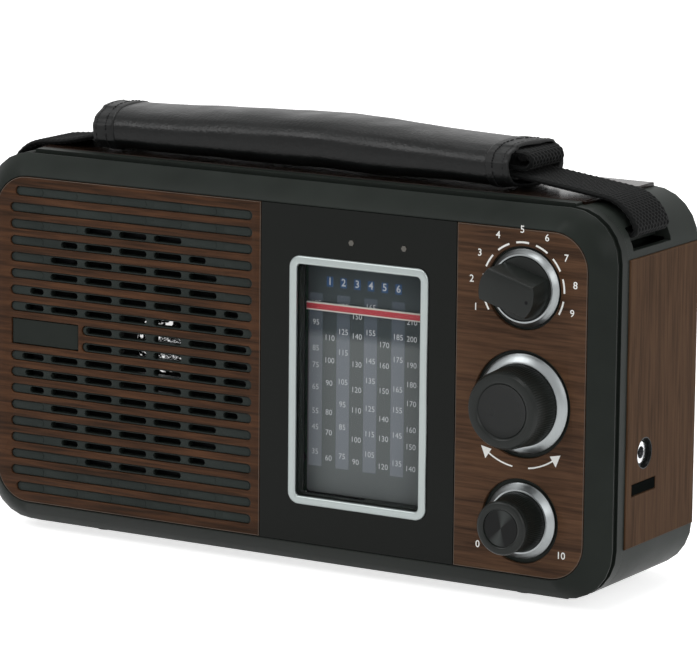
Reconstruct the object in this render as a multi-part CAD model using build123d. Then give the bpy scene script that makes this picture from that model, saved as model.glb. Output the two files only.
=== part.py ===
"""Portable tabletop radio: two-shell cabinet, grille, dial drive, three rotary controls and carry strap.

The model is drawn in the case frame: X to the right, Y from the front trim towards the back and Z up,
with zero at the case's centre line, the trim's front face and half the trim's height. Each node is then
moved so that the row's origin lies under the middle of the whole radio, on the surface it stands on.
Lengths are millimetres.
"""

from build123d import *
from math import acos, atan2, cos, pi, radians, sin, sqrt
import os

# ---------------------------------------------------------------- driving dimensions

# Flat facets round a form, where a true circle isn't needed
FACETS = 36
SMALL_FACETS = 12
CORNER_STEPS = 6

# Cabinet skin, seen from the front
CASE_WIDTH = 213.0
CASE_HEIGHT = 111.8
CASE_CORNER = 15.0
WALL = 2.2
LAND = 0.9  # raised strips along the top and bottom edges

# Depths behind the trim's front face
TRIM_THICKNESS = 1.4
PLATE_THICKNESS = 2.0
BEZEL_DEPTH = 5.3
BEZEL_LIP = 0.3
RIDGE = 0.4
GROOVE_WIDTH = 2.5
GROOVE_DEPTH = 1.0
PARTING = 12.0
SIDE_DEPTH = 42.8
BACK_BEVEL = 8.0
BACK_BEVEL_RUN = 7.8

# Front trim
BEZEL_SIDE = 6.3  # bezel seen beside the trim
BEZEL_EDGE = 6.2  # bezel seen above and below the trim
TRIM_WIDTH = CASE_WIDTH - 2 * BEZEL_SIDE
TRIM_HEIGHT = CASE_HEIGHT - 2 * BEZEL_EDGE
TRIM_CORNER = 11.0
TRIM_GAP = 0.2
PANEL_LEFT = -TRIM_WIDTH / 2 + 93.5
PANEL_RIGHT = TRIM_WIDTH / 2 - 42.1
EDGE_BEVEL = 0.35

# Speaker grille
SPEAKER_X = -TRIM_WIDTH / 2 + 48.55
ROW_PITCH = 5.0
ROW_MARGIN = 4.6  # least trim left above and below the rows
ROW_COUNT = 1 + 2 * int((TRIM_HEIGHT - 2 * ROW_MARGIN) / (2 * ROW_PITCH))
ROW_HEIGHT = 2.9
ROW_LEFT = -TRIM_WIDTH / 2 + 5.1
ROW_RIGHT = PANEL_LEFT - 3.2
ROW_END_INSET = 1.9
COLUMN_PITCH = 12.23
COLUMN_COUNT = 7
SLOT_LENGTH = 9.7
SLOT_HEIGHT = 1.9
GRILLE_RADIUS = 40.1
SLOT_SHORTEST = 2.6

# Badge plate in the grille
BADGE_LEFT = ROW_LEFT + 0.5
BADGE_RIGHT = BADGE_LEFT + 23.7
BADGE_HEIGHT = 7.6
BADGE_Z = 2.5
BADGE_THICKNESS = 1.0

# Dial
DIAL_X = (PANEL_LEFT + PANEL_RIGHT) / 2 + 0.5
DIAL_Z = -1.5
FRAME_WIDTH = 0.713 * (PANEL_RIGHT - PANEL_LEFT)
FRAME_HEIGHT = 73.2
FRAME_BORDER = 2.6
FRAME_CORNER = 3.6
FRAME_PROUD = 0.5
LENS_THICKNESS = 1.0
SCALE_FACE = 6.6
SCALE_THICKNESS = 1.2
POINTER_FACE = 4.4
POINTER_HEIGHT = 2.1
POINTER_THICKNESS = 0.9
POINTER_TOP = DIAL_Z + FRAME_HEIGHT / 2 - 8.1
POINTER_BOTTOM = DIAL_Z - FRAME_HEIGHT / 2 + 7.1
POINTER_Z = POINTER_TOP - 7.2
LAMP_PLACES = (DIAL_X - 2.6, DIAL_X + 14.8)
LAMP_Z = DIAL_Z + FRAME_HEIGHT / 2 + 5.1
LAMP_RADIUS = 0.9

# Dial drive
DRIVE_DEPTH = 11.0
CORD_RADIUS = 0.4
CORD_CLEARANCE = 0.1
SPINDLE_GROOVE = 2.5
PULLEY_GROOVE = 3.6
PULLEY_RIM = 4.8
PULLEY_WIDTH = 2.6
PULLEY_X = DIAL_X - FRAME_WIDTH / 2 - 1.5
PULLEY_TOP = DIAL_Z + FRAME_HEIGHT / 2 + 5.9
PULLEY_BOTTOM = DIAL_Z - FRAME_HEIGHT / 2 - 3.9
PULLEY_PIN = 1.4
DRUM_X = DIAL_X + 0.8
DRUM_FLANGE = 1.2
DRUM_WIDTH = 3.0
ROD_RADIUS = 1.25
ROD_X = PULLEY_X + 0.8
ROD_DEPTH = 7.0
ROD_TOP = POINTER_TOP + 8.5
ROD_BOTTOM = POINTER_BOTTOM - 8.5
CAPACITOR_SHAFT = 2.0
CAPACITOR_SIZE = 20.0

# Gaps between pieces that turn or slide, and between pieces that only drop in
RUNNING_FIT = 0.06
LOOSE_FIT = 0.3

# Rotary controls
CONTROL_X = TRIM_WIDTH / 2 - 20.5
FUNCTION_Z = 0.329 * TRIM_HEIGHT
TUNING_Z = -0.4
VOLUME_Z = -0.342 * TRIM_HEIGHT
FUNCTION_RECESS = 11.9
TUNING_RECESS = 15.45
VOLUME_RECESS = 12.2
FUNCTION_SKIRT = 9.1
TUNING_SKIRT = 11.7
VOLUME_SKIRT = 8.6
RING_BACK = 1.1
SHAFT_RADIUS = 3.0
SHAFT_COVER = 3.4  # knob's thickness in front of its shaft
BUSH_RADIUS = 4.5
SWITCH_DEPTH = 11.0
SWITCH_RADIUS = 9.8
POT_RADIUS = 8.5
FUNCTION_ANGLE = -16.0
FUNCTION_BAR_WIDTH = 9.0
FUNCTION_BAR_REACH = 8.8
FUNCTION_FACE = -10.4
TUNING_FACE = -11.9
VOLUME_FACE = -11.3

# Side trims, top panel and feet
SIDE_PANEL_HEIGHT = CASE_HEIGHT - 28.8
SIDE_PANEL_PROUD = 0.5
PANEL_INLAY = 0.7
PANEL_MARGIN = 0.3
TOP_PANEL_WIDTH = CASE_WIDTH - 28.6
TOP_PANEL_PROUD = 1.0
LAND_WIDTH = CASE_WIDTH - 30.0
FOOT_RADIUS = 4.0
FOOT_X = CASE_WIDTH / 2 - 34.0
FOOT_FRONT = 19.0
FOOT_BACK = 46.0
FOOT_HEIGHT = 2.2

# Carry strap
STRAP_WIDTH = 20.6
STRAP_THICKNESS = 1.8
STRAP_Y = 26.6
SLOT_LOW = CASE_HEIGHT / 2 - 12.3
SLOT_HIGH = CASE_HEIGHT / 2 - 5.9
SLOT_SPAN = 23.0
GRIP_LEFT = -CASE_WIDTH / 2 + 30.5
GRIP_RIGHT = CASE_WIDTH / 2 - 42.5
GRIP_WIDTH = 31.0
GRIP_BOTTOM = CASE_HEIGHT / 2 + 1.5
GRIP_TOP = GRIP_BOTTOM + 13.6
GRIP_TUNNEL_Z = GRIP_BOTTOM + 4.2
ANCHOR_X = CASE_WIDTH / 2 - 6.9
ANCHOR_Z = SLOT_LOW + 2.8
ANCHOR_SIZE = 3.0

# Speaker
SPEAKER_RADIUS = 38.5
SPEAKER_FLANGE = 1.2
SPEAKER_HOLE = SPEAKER_RADIUS - 8.0
SPEAKER_CORNER = 9.0
CONE_RADIUS = SPEAKER_RADIUS - 5.5
CONE_DEPTH = 11.0
BASKET_DEPTH = 15.0
BASKET_NECK = 17.0
BASKET_ARM = 14.0
MAGNET_RADIUS = 20.0
MAGNET_THICKNESS = 8.0
DUST_CAP_RADIUS = 9.5

# Circuit board and what it carries
BOARD_DEPTH = 24.0
BOARD_THICKNESS = 1.6
BOARD_RIGHT = CASE_WIDTH / 2 - 17.5
BOARD_HEIGHT = CASE_HEIGHT - 18.8
FERRITE_RADIUS = 4.0
FERRITE_LENGTH = 80.0
FERRITE_LEFT = BOARD_RIGHT - 89.0
FERRITE_Y = 36.0
FERRITE_Z = BOARD_HEIGHT / 2 - 6.5

# Bosses and screws, by the radius over their corners
BOSS_RADIUS = 2.6
PILOT_RADIUS = 1.0
CASE_BOSS_RADIUS = 3.6
CASE_SCREW_RADIUS = 1.15
CASE_SCREW_HEAD = 2.6
SCREW_WELL = 12.0

# Battery bay
CELL_RADIUS = 13.1
CELL_LENGTH = 50.0
CELL_GAP = 0.6
CELL_TOP_Z = -CASE_HEIGHT / 2 + 49.9
BAY_LEFT = CASE_WIDTH / 2 - 128.5
BAY_FLOOR = 31.0
BAY_WALL = 2.2
DOOR_THICKNESS = 2.0
DOOR_LEDGE = 1.2
DOOR_PIN = 0.7
DOOR_PIN_LENGTH = 1.4

# Telescopic aerial
AERIAL_X = CASE_WIDTH / 2 - 20.5
AERIAL_RADIUS = 3.0
AERIAL_SECTIONS = 4
AERIAL_WALL = 0.35
AERIAL_FIT = 0.05
AERIAL_LENGTH = CASE_WIDTH - 55.0
AERIAL_TIP = 2.6
AERIAL_STEM = 2.6
AERIAL_PIN = 0.9
TONGUE = 2.4
TONGUE_REACH = 5.0
EAR = 0.9
EAR_REACH = 2.3

# Sockets
JACK_BORE = 1.8
JACK_FERRULE = 3.1
JACK_DEPTH = 14.0
JACK_WELL = 4.6
JACK_Y = 23.1
JACK_Z = -15.2
INLET_X = CONTROL_X - 17.7
INLET_Z = CASE_HEIGHT / 2 - 27.9
INLET_WIDTH = 17.0
INLET_HEIGHT = 9.0
MEDIA_Y = 32.5
USB_Z = CASE_HEIGHT / 2 - 43.9
USB_WIDTH = 13.4
USB_HEIGHT = 6.0
CARD_Z = CASE_HEIGHT / 2 - 54.9
CARD_WIDTH = 12.6
CARD_HEIGHT = 3.0
BUTTON_Z = CASE_HEIGHT / 2 - 29.9
BUTTON_RADIUS = 3.0
BUTTON_PROUD = 1.0
BUTTON_TRAVEL = 0.6

# ---------------------------------------------------------------- derived places

SIDE_BACK = PARTING + SIDE_DEPTH
CASE_BACK = SIDE_BACK + BACK_BEVEL
PLATE_FACE = TRIM_THICKNESS
PLATE_BACK = PLATE_FACE + PLATE_THICKNESS
HALF_WIDTH = CASE_WIDTH / 2
HALF_HEIGHT = CASE_HEIGHT / 2
TRIM_LEFT = -TRIM_WIDTH / 2
TRIM_RIGHT = TRIM_WIDTH / 2
CONTROLS = {
    "function": (FUNCTION_Z, FUNCTION_RECESS),
    "tuning": (TUNING_Z, TUNING_RECESS),
    "volume": (VOLUME_Z, VOLUME_RECESS),
}
FOOT_BOTTOM = -HALF_HEIGHT - LAND - FOOT_HEIGHT
DRUM_CORD = (POINTER_TOP - POINTER_BOTTOM) / pi  # half a turn of the tuning capacitor sweeps the whole scale
DRUM_GROOVE = DRUM_CORD - CORD_RADIUS - CORD_CLEARANCE
PULLEY_CORD = PULLEY_GROOVE + CORD_CLEARANCE + CORD_RADIUS
SPINDLE_CORD = SPINDLE_GROOVE + CORD_CLEARANCE + CORD_RADIUS
DRUM_Z = PULLEY_BOTTOM - PULLEY_CORD + DRUM_CORD
CORD_X = PULLEY_X - PULLEY_CORD
BOARD_LEFT = (SPEAKER_X + SPEAKER_RADIUS + CORD_X - CORD_RADIUS) / 2 - 4.0  # clears the speaker and the cord
WINDOW_WIDTH = FRAME_WIDTH - 2 * FRAME_BORDER
WINDOW_HEIGHT = FRAME_HEIGHT - 2 * FRAME_BORDER
SPEAKER_FACE = PLATE_BACK + 1.5
BAY_RIGHT = BAY_LEFT + 2 * CELL_LENGTH + 8.0
CELL_Y = BAY_FLOOR + BAY_WALL + CELL_RADIUS + LOOSE_FIT
CELL_LOW_Z = CELL_TOP_Z - 2 * CELL_RADIUS - CELL_GAP
BAY_TOP = CELL_TOP_Z + CELL_RADIUS + LOOSE_FIT
BAY_BOTTOM = CELL_LOW_Z - CELL_RADIUS - LOOSE_FIT
DOOR_FACE = CASE_BACK - DOOR_THICKNESS
DOOR_AXIS_Y = CASE_BACK - DOOR_THICKNESS / 2
DOOR_AXIS_Z = BAY_BOTTOM - 0.2 + DOOR_THICKNESS / 2
CAPACITOR_FACE = DRIVE_DEPTH + DRUM_WIDTH / 2 + 1.0
MEDIA_BOARD_X = -HALF_WIDTH + 14.5
USB_SKETCH = Pos(MEDIA_Y, USB_Z) * Rectangle(USB_WIDTH, USB_HEIGHT)
CARD_SKETCH = Pos(MEDIA_Y, CARD_Z) * Rectangle(CARD_WIDTH, CARD_HEIGHT)
AERIAL_Y = SIDE_BACK + 4.2
AERIAL_Z = HALF_HEIGHT - 4.9
NOTCH_FLOOR = AERIAL_Z - AERIAL_RADIUS - 0.6
NOTCH_FACE = AERIAL_Y - AERIAL_RADIUS - 0.4
CASE_BOSSES = [(i * (HALF_WIDTH - 14.5), j * (HALF_HEIGHT - 13.9)) for i in (-1, 1) for j in (-1, 1)]
BOARD_POSTS = [(BOARD_LEFT + 4.0, j * 30.0) for j in (-1, 1)]
BOARD_POSTS += [(CONTROL_X - 13.7, j * (BOARD_HEIGHT / 2 - 3.5)) for j in (-1, 1)]
MEDIA_POSTS = [(18.0, CARD_Z + 4.0), (47.0, CARD_Z + 4.0), (MEDIA_Y, BUTTON_Z + 6.4)]
BUTTON_PLACES = [(y, BUTTON_Z) for y in (19.0, 28.0, 37.0, 46.0)]


# ---------------------------------------------------------------- drawing helpers


def front(sketch, near, far):
    """Carries a front-view sketch (X, Z) from one depth back to another."""
    return extrude(Plane.XZ.offset(-near) * sketch, amount=near - far)


def side(sketch, left, right):
    """Carries a side-view sketch (Y, Z) from one X to another."""
    return extrude(Plane.YZ.offset(left) * sketch, amount=right - left)


def plan(sketch, low, high):
    """Carries a plan-view sketch (X, Y) from one height to another."""
    return extrude(Plane.XY.offset(low) * sketch, amount=high - low)


def rod(radius, near, far, x=0.0, z=0.0):
    """Round bar along Y."""
    return front(Pos(x, z) * Circle(radius), near, far)


def post(radius, near, far, x, z):
    """Six-sided bar along Y, for bosses, their holes and the screws in them."""
    return front(Pos(x, z) * RegularPolygon(radius, 6), near, far)


def facet(radius, sides=FACETS):
    """Many-sided outline for round forms that nothing turns in."""
    return RegularPolygon(radius, sides)


def skin(rings):
    """Closed form with flat facets through rings of equally many points."""
    faces = [Face(Wire.make_polygon(ring)) for ring in (rings[0], rings[-1])]
    for near, far in zip(rings, rings[1:]):
        for k in range(len(near)):
            after = (k + 1) % len(near)
            faces.append(Face(Wire.make_polygon([near[k], near[after], far[after], far[k]])))
    return Part() + Solid(Shell(faces))


def turned(stations, x=0.0, z=0.0, sides=FACETS):
    """Form turned about a line along Y through (radius, depth) stations."""
    turns = [2 * pi * k / sides for k in range(sides)]
    return skin([[Vector(x + r * cos(a), y, z + r * sin(a)) for a in turns] for r, y in stations])


def corner_points(width, height, radius):
    """Points round a rectangle with rounded corners, each corner in equal steps."""
    points = []
    for quarter, (i, j) in enumerate(((1, 1), (-1, 1), (-1, -1), (1, -1))):
        for step in range(CORNER_STEPS + 1):
            a = (quarter + step / CORNER_STEPS) * pi / 2
            x, z = i * (width / 2 - radius), j * (height / 2 - radius)
            points.append((x + radius * cos(a), z + radius * sin(a)))
    return points


def rounded(width, height, radius):
    return make_face(Polyline(*corner_points(width, height, radius), close=True))


def tapered(*sections):
    """Straight-sided form through rounded outlines given as (width, height, corner, depth)."""
    return skin([[Vector(x, y, z) for x, z in corner_points(w, h, r)] for w, h, r, y in sections])


def case_outline(inset=0.0):
    """The case's front-view outline, drawn in by an inset."""
    return rounded(CASE_WIDTH - 2 * inset, CASE_HEIGHT - 2 * inset, CASE_CORNER - inset)


def plate(left, right, low, high, corner=0.0):
    """Front-view rectangle between edges, with rounded corners where a radius is given."""
    width, height = right - left, high - low
    shape = rounded(width, height, corner) if corner else Rectangle(width, height)
    return Pos((left + right) / 2, (low + high) / 2) * shape


def box(x, y, z):
    """Block between two X, two Y and two Z values."""
    return plan(plate(x[0], x[1], y[0], y[1]), z[0], z[1])


# ---------------------------------------------------------------- grille pattern


def row_height(row):
    return ((ROW_COUNT - 1) / 2 - row) * ROW_PITCH


def row_ends(row):
    """Left and right ends of a grille row. The outer rows and those beside the badge are shorter."""
    z = row_height(row)
    left = ROW_LEFT
    if row in (0, ROW_COUNT - 1):
        left += ROW_END_INSET
    if abs(z - BADGE_Z) < BADGE_HEIGHT / 2 + ROW_HEIGHT / 2:
        left = BADGE_RIGHT + ROW_HEIGHT / 2
    return left, ROW_RIGHT


def open_slots():
    """Centre, height and length of each slot that is open to the speaker."""
    slots = []
    for row in range(ROW_COUNT):
        z = row_height(row)
        if abs(z) + SLOT_HEIGHT / 2 >= GRILLE_RADIUS:
            continue
        reach = sqrt(GRILLE_RADIUS**2 - (abs(z) + SLOT_HEIGHT / 2) ** 2)
        for column in range(COLUMN_COUNT):
            centre = SPEAKER_X + (column - (COLUMN_COUNT - 1) / 2) * COLUMN_PITCH
            left = max(centre - SLOT_LENGTH / 2, SPEAKER_X - reach, row_ends(row)[0])
            right = min(centre + SLOT_LENGTH / 2, SPEAKER_X + reach)
            if right - left > SLOT_SHORTEST:
                slots.append(((left + right) / 2, z, right - left))
    return slots


# ---------------------------------------------------------------- cabinet


def front_cabinet():
    """Moulded front shell: bevelled bezel, grille plate with its slots, dial window and drive posts."""
    lip_w, lip_h = TRIM_WIDTH + 2 * BEZEL_LIP, TRIM_HEIGHT + 2 * BEZEL_LIP
    knee_w, knee_h = (lip_w + 1.6 * CASE_WIDTH) / 2.6, (lip_h + 1.6 * CASE_HEIGHT) / 2.6
    shell = tapered(
        (lip_w, lip_h, TRIM_CORNER + BEZEL_LIP, 0),
        (knee_w, knee_h, (TRIM_CORNER + CASE_CORNER) / 2, 0.5 * BEZEL_DEPTH),
        (CASE_WIDTH, CASE_HEIGHT, CASE_CORNER, BEZEL_DEPTH),
    )
    shell += front(case_outline(), BEZEL_DEPTH, PARTING)
    flange = BEZEL_DEPTH + RIDGE + GROOVE_WIDTH
    shell -= front(case_outline(-1) - case_outline(GROOVE_DEPTH), flange - GROOVE_WIDTH, flange)
    inner, outer = HALF_HEIGHT - WALL / 2, HALF_HEIGHT + LAND
    for low, high in ((inner, outer), (-outer, -inner)):
        shell += front(plate(-LAND_WIDTH / 2, LAND_WIDTH / 2, low, high, LAND / 2), flange, PARTING)

    inner_w, inner_h = CASE_WIDTH - 2 * WALL, CASE_HEIGHT - 2 * WALL
    shell -= front(rounded(TRIM_WIDTH, TRIM_HEIGHT, TRIM_CORNER), PLATE_BACK, PARTING)
    shell -= front(rounded(inner_w, inner_h, CASE_CORNER - WALL), BEZEL_DEPTH + WALL, PARTING + 1)
    shell -= front(rounded(TRIM_WIDTH, TRIM_HEIGHT, TRIM_CORNER), -1, PLATE_FACE)

    slots = Sketch() + [Pos(x, z) * Rectangle(length, SLOT_HEIGHT) for x, z, length in open_slots()]
    shell -= front(slots, PLATE_FACE - 1, PLATE_BACK + 1)

    window_w, window_h = WINDOW_WIDTH - 0.4, WINDOW_HEIGHT - 0.4
    shell += front(
        plate(DIAL_X, DIAL_X + window_w / 2 + 1.8, DIAL_Z - window_h / 2 - 1.8, DIAL_Z + window_h / 2 + 1.8),
        PLATE_FACE,
        SCALE_FACE,
    )
    shell -= front(Pos(DIAL_X, DIAL_Z) * rounded(window_w, window_h, 1.6), PLATE_FACE - 1, SCALE_FACE + 1)
    drive_side = plate(PANEL_LEFT, DIAL_X, DIAL_Z - window_h / 2, DIAL_Z + window_h / 2)
    shell -= front(drive_side, PLATE_BACK, SCALE_FACE + 1)

    for x, z in speaker_holes():
        shell += post(BOSS_RADIUS, PLATE_BACK - 0.5, SPEAKER_FACE, x, z)
        shell -= post(PILOT_RADIUS, PLATE_FACE + 0.8, SPEAKER_FACE + 1, x, z)
    for x, z in BOARD_POSTS:
        shell += post(BOSS_RADIUS, PLATE_BACK - 0.5, BOARD_DEPTH, x, z)
        shell -= post(PILOT_RADIUS, BOARD_DEPTH - 5, BOARD_DEPTH + 1, x, z)
    for x, z in CASE_BOSSES:
        shell += post(CASE_BOSS_RADIUS, PLATE_BACK - 0.5, PARTING, x, z)
        shell -= post(CASE_SCREW_RADIUS + 0.05, PLATE_BACK + 1, PARTING + 1, x, z)

    for z in (PULLEY_TOP, PULLEY_BOTTOM):
        pulley_front = DRIVE_DEPTH - PULLEY_WIDTH / 2
        shell += post(BOSS_RADIUS, PLATE_BACK - 0.5, pulley_front - LOOSE_FIT, PULLEY_X, z)
        shell += rod(PULLEY_PIN, PLATE_BACK, pulley_front + PULLEY_WIDTH + LOOSE_FIT, PULLEY_X, z)
    for low, high in ((ROD_TOP - 3, ROD_TOP), (ROD_BOTTOM, ROD_BOTTOM + 3)):
        shell += box((ROD_X - 2, ROD_X + 2), (PLATE_BACK - 0.5, ROD_DEPTH + 1.9), (low, high))
    shell -= plan(Pos(ROD_X, ROD_DEPTH) * Circle(ROD_RADIUS), ROD_BOTTOM - 1, ROD_TOP + 1)

    shell += post(SHAFT_RADIUS + 2.6, PLATE_BACK - 0.5, PLATE_BACK + 5, CONTROL_X, TUNING_Z)
    shell -= rod(SHAFT_RADIUS + RUNNING_FIT, PLATE_FACE - 1, PLATE_BACK + 6, CONTROL_X, TUNING_Z)
    for z in (FUNCTION_Z, VOLUME_Z):
        shell -= post(BUSH_RADIUS, PLATE_FACE - 1, PLATE_BACK + 1, CONTROL_X, z)
    for x in LAMP_PLACES:
        shell -= post(LAMP_RADIUS, PLATE_FACE - 1, PLATE_BACK + 1, x, LAMP_Z)
    return shell


def speaker_holes():
    return [(SPEAKER_X + i * SPEAKER_HOLE, j * SPEAKER_HOLE) for i in (-1, 1) for j in (-1, 1)]


def rear_cabinet():
    """Moulded rear shell with corner caps, trim inlays, strap slots, aerial notch and battery bay."""
    back = (CASE_WIDTH - 2 * BACK_BEVEL_RUN, CASE_HEIGHT - 2 * BACK_BEVEL_RUN, CASE_CORNER - BACK_BEVEL_RUN)
    shell = front(case_outline(), PARTING, SIDE_BACK)
    shell += tapered((CASE_WIDTH, CASE_HEIGHT, CASE_CORNER, SIDE_BACK), (*back, CASE_BACK))
    shell += box(
        (-LAND_WIDTH / 2, LAND_WIDTH / 2),
        (PARTING, SIDE_BACK - LAND),
        (-HALF_HEIGHT - LAND, -HALF_HEIGHT + WALL / 2),
    )

    inner = (CASE_WIDTH - 2 * WALL, CASE_HEIGHT - 2 * WALL, CASE_CORNER - WALL)
    hollow = tapered(
        (*inner, PARTING - 1),
        (*inner, SIDE_BACK - WALL / 2),
        (back[0] - WALL, back[1] - WALL, back[2] - WALL / 2, CASE_BACK - WALL),
    )
    hollow -= box(
        (-HALF_WIDTH, HALF_WIDTH), (NOTCH_FACE - WALL, CASE_BACK), (NOTCH_FLOOR - WALL, HALF_HEIGHT)
    )
    hollow -= box(
        (BAY_LEFT - BAY_WALL, BAY_RIGHT + BAY_WALL),
        (BAY_FLOOR, CASE_BACK),
        (BAY_BOTTOM - BAY_WALL, BAY_TOP + BAY_WALL),
    )
    for x, z in CASE_BOSSES:
        hollow -= post(CASE_BOSS_RADIUS + 0.4, PARTING, CASE_BACK, x, z)
    hollow -= plan(Pos(AERIAL_X, AERIAL_Y) * Circle(AERIAL_STEM + 1.6), AERIAL_Z - 12.5, AERIAL_Z)
    shell -= hollow

    bay = box((BAY_LEFT, BAY_RIGHT), (BAY_FLOOR + BAY_WALL, CASE_BACK + 1), (BAY_BOTTOM, BAY_TOP))
    shell -= bay
    cell_room = Sketch() + [Pos(CELL_Y, z) * facet(CELL_RADIUS + LOOSE_FIT) for z in (CELL_TOP_Z, CELL_LOW_Z)]
    shell -= side(cell_room, BAY_LEFT, BAY_RIGHT)
    left, right, low, high = door_edges()
    shell -= front(
        plate(left - LOOSE_FIT, right + LOOSE_FIT, low - LOOSE_FIT, high + LOOSE_FIT),
        DOOR_FACE,
        CASE_BACK + 1,
    )
    pin_reach = DOOR_PIN_LENGTH + LOOSE_FIT
    shell -= side(
        Pos(DOOR_AXIS_Y, DOOR_AXIS_Z) * Circle(DOOR_PIN + RUNNING_FIT), left - pin_reach, right + pin_reach
    )
    shell -= post(8.0, CASE_BACK - 1.2, CASE_BACK + 1, (left + right) / 2, high + 5.0)

    for x, z in CASE_BOSSES:
        shell -= post(CASE_SCREW_RADIUS + 0.4, PARTING - 1, CASE_BACK + 1, x, z)
        shell -= post(CASE_SCREW_HEAD + 0.3, CASE_BACK - SCREW_WELL, CASE_BACK + 1, x, z)

    shell -= box(
        (-HALF_WIDTH - 1, HALF_WIDTH + 1), (NOTCH_FACE, CASE_BACK + 1), (NOTCH_FLOOR, HALF_HEIGHT + 1)
    )
    stem_hole = Pos(AERIAL_X, AERIAL_Y) * Circle(AERIAL_STEM + RUNNING_FIT)
    shell -= plan(stem_hole, AERIAL_Z - 10.5, NOTCH_FLOOR + 1)

    inlay_front, inlay_back = PARTING + PANEL_MARGIN, SIDE_BACK - PANEL_MARGIN
    inlay_low, inlay_high = -SIDE_PANEL_HEIGHT / 2, SIDE_PANEL_HEIGHT / 2
    for x in (-HALF_WIDTH - 1, HALF_WIDTH - PANEL_INLAY):
        shell -= box((x, x + PANEL_INLAY + 1), (inlay_front, inlay_back), (inlay_low, inlay_high))
    shell -= box(
        (-TOP_PANEL_WIDTH / 2, TOP_PANEL_WIDTH / 2),
        (inlay_front, inlay_back),
        (HALF_HEIGHT - PANEL_INLAY, HALF_HEIGHT + 1),
    )

    slot = plate(STRAP_Y - SLOT_SPAN / 2, STRAP_Y + SLOT_SPAN / 2, SLOT_LOW, SLOT_HIGH)
    shell -= side(slot, HALF_WIDTH - CASE_CORNER, HALF_WIDTH + 1)
    shell -= side(slot, -HALF_WIDTH - 1, -HALF_WIDTH + CASE_CORNER)

    for hand in (-1, 1):
        bar = Pos(hand * ANCHOR_X, ANCHOR_Z) * Rectangle(ANCHOR_SIZE, ANCHOR_SIZE)
        shell += front(bar, STRAP_Y - SLOT_SPAN / 2 - 1, STRAP_Y + SLOT_SPAN / 2 + 1)
        inner, outer = hand * (ANCHOR_X - 2), hand * (HALF_WIDTH - WALL - 0.3)
        for y in (STRAP_Y - SLOT_SPAN / 2 - 1.8, STRAP_Y + SLOT_SPAN / 2):
            ends = (min(inner, outer), max(inner, outer))
            shell += box(ends, (y, y + 1.8), (ANCHOR_Z - 2, ANCHOR_Z + 2))

    shell -= side(Pos(JACK_Y, JACK_Z) * RegularPolygon(JACK_WELL - 0.6, 6), HALF_WIDTH - 6, HALF_WIDTH)
    shell -= side(USB_SKETCH, -HALF_WIDTH, -HALF_WIDTH + 6)
    shell -= side(CARD_SKETCH, -HALF_WIDTH, -HALF_WIDTH + 6)
    for y, z in BUTTON_PLACES:
        shell -= side(button_outline(y, z, LOOSE_FIT), -HALF_WIDTH, -HALF_WIDTH + 6)
    for y, z in MEDIA_POSTS:
        where = Pos(y, z)
        shell += side(where * Rectangle(4, 4), -HALF_WIDTH + WALL - 0.1, MEDIA_BOARD_X)
        shell += side(where * Rectangle(1.8, 1.8), MEDIA_BOARD_X - 1, MEDIA_BOARD_X + BOARD_THICKNESS + 0.4)
    shell -= front(Pos(INLET_X, INLET_Z) * inlet_outline(), CASE_BACK - 6, CASE_BACK + 1)

    return shell


def door_edges():
    """Left, right, low and high edges of the battery door."""
    return (
        BAY_LEFT - DOOR_LEDGE,
        BAY_RIGHT + DOOR_LEDGE,
        DOOR_AXIS_Z - DOOR_THICKNESS / 2,
        BAY_TOP + DOOR_LEDGE,
    )


def button_outline(y, z, gap=0.0):
    return Pos(y, z) * facet(BUTTON_RADIUS + gap, SMALL_FACETS)


def foot_places():
    return [(x, y) for x in (-FOOT_X, FOOT_X) for y in (FOOT_FRONT, FOOT_BACK)]


# ---------------------------------------------------------------- front trim and dial


def trim_blank():
    return front(
        rounded(TRIM_WIDTH - 2 * TRIM_GAP, TRIM_HEIGHT - 2 * TRIM_GAP, TRIM_CORNER), 0, TRIM_THICKNESS
    )


def grille_trim():
    """Left wood-look trim with a round-ended opening for every grille row."""
    trim = trim_blank()
    trim = chamfer(trim.faces().sort_by(Axis.Y)[0].outer_wire().edges(), EDGE_BEVEL)
    trim -= front(plate(PANEL_LEFT - TRIM_GAP, TRIM_RIGHT, -TRIM_HEIGHT, TRIM_HEIGHT), -1, TRIM_THICKNESS + 1)
    rows = Sketch()
    for row in range(ROW_COUNT):
        left, right = row_ends(row)
        opening = chamfer(Rectangle(right - left, ROW_HEIGHT).vertices(), 0.3 * ROW_HEIGHT)
        rows += Pos((left + right) / 2, row_height(row)) * opening
    rows += plate(
        BADGE_LEFT - TRIM_GAP,
        BADGE_RIGHT + TRIM_GAP,
        BADGE_Z - BADGE_HEIGHT / 2 - TRIM_GAP,
        BADGE_Z + BADGE_HEIGHT / 2 + TRIM_GAP,
    )
    return trim - front(rows, -1, TRIM_THICKNESS + 1)


def control_trim():
    """Right wood-look trim with a round opening for each control."""
    trim = trim_blank()
    trim -= front(plate(TRIM_LEFT, PANEL_RIGHT + TRIM_GAP, -TRIM_HEIGHT, TRIM_HEIGHT), -1, TRIM_THICKNESS + 1)
    trim = chamfer(trim.faces().sort_by(Axis.Y)[0].outer_wire().edges(), EDGE_BEVEL)
    for z, recess in CONTROLS.values():
        trim -= front(Pos(CONTROL_X, z) * facet(recess), -1, TRIM_THICKNESS + 1)
    return trim


def badge_plate():
    """Bare plate set into the grille."""
    outline = plate(BADGE_LEFT, BADGE_RIGHT, BADGE_Z - BADGE_HEIGHT / 2, BADGE_Z + BADGE_HEIGHT / 2)
    badge = front(outline, TRIM_THICKNESS - BADGE_THICKNESS, TRIM_THICKNESS)
    return chamfer(badge.faces().sort_by(Axis.Y)[0].outer_wire().edges(), 0.2)


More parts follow.
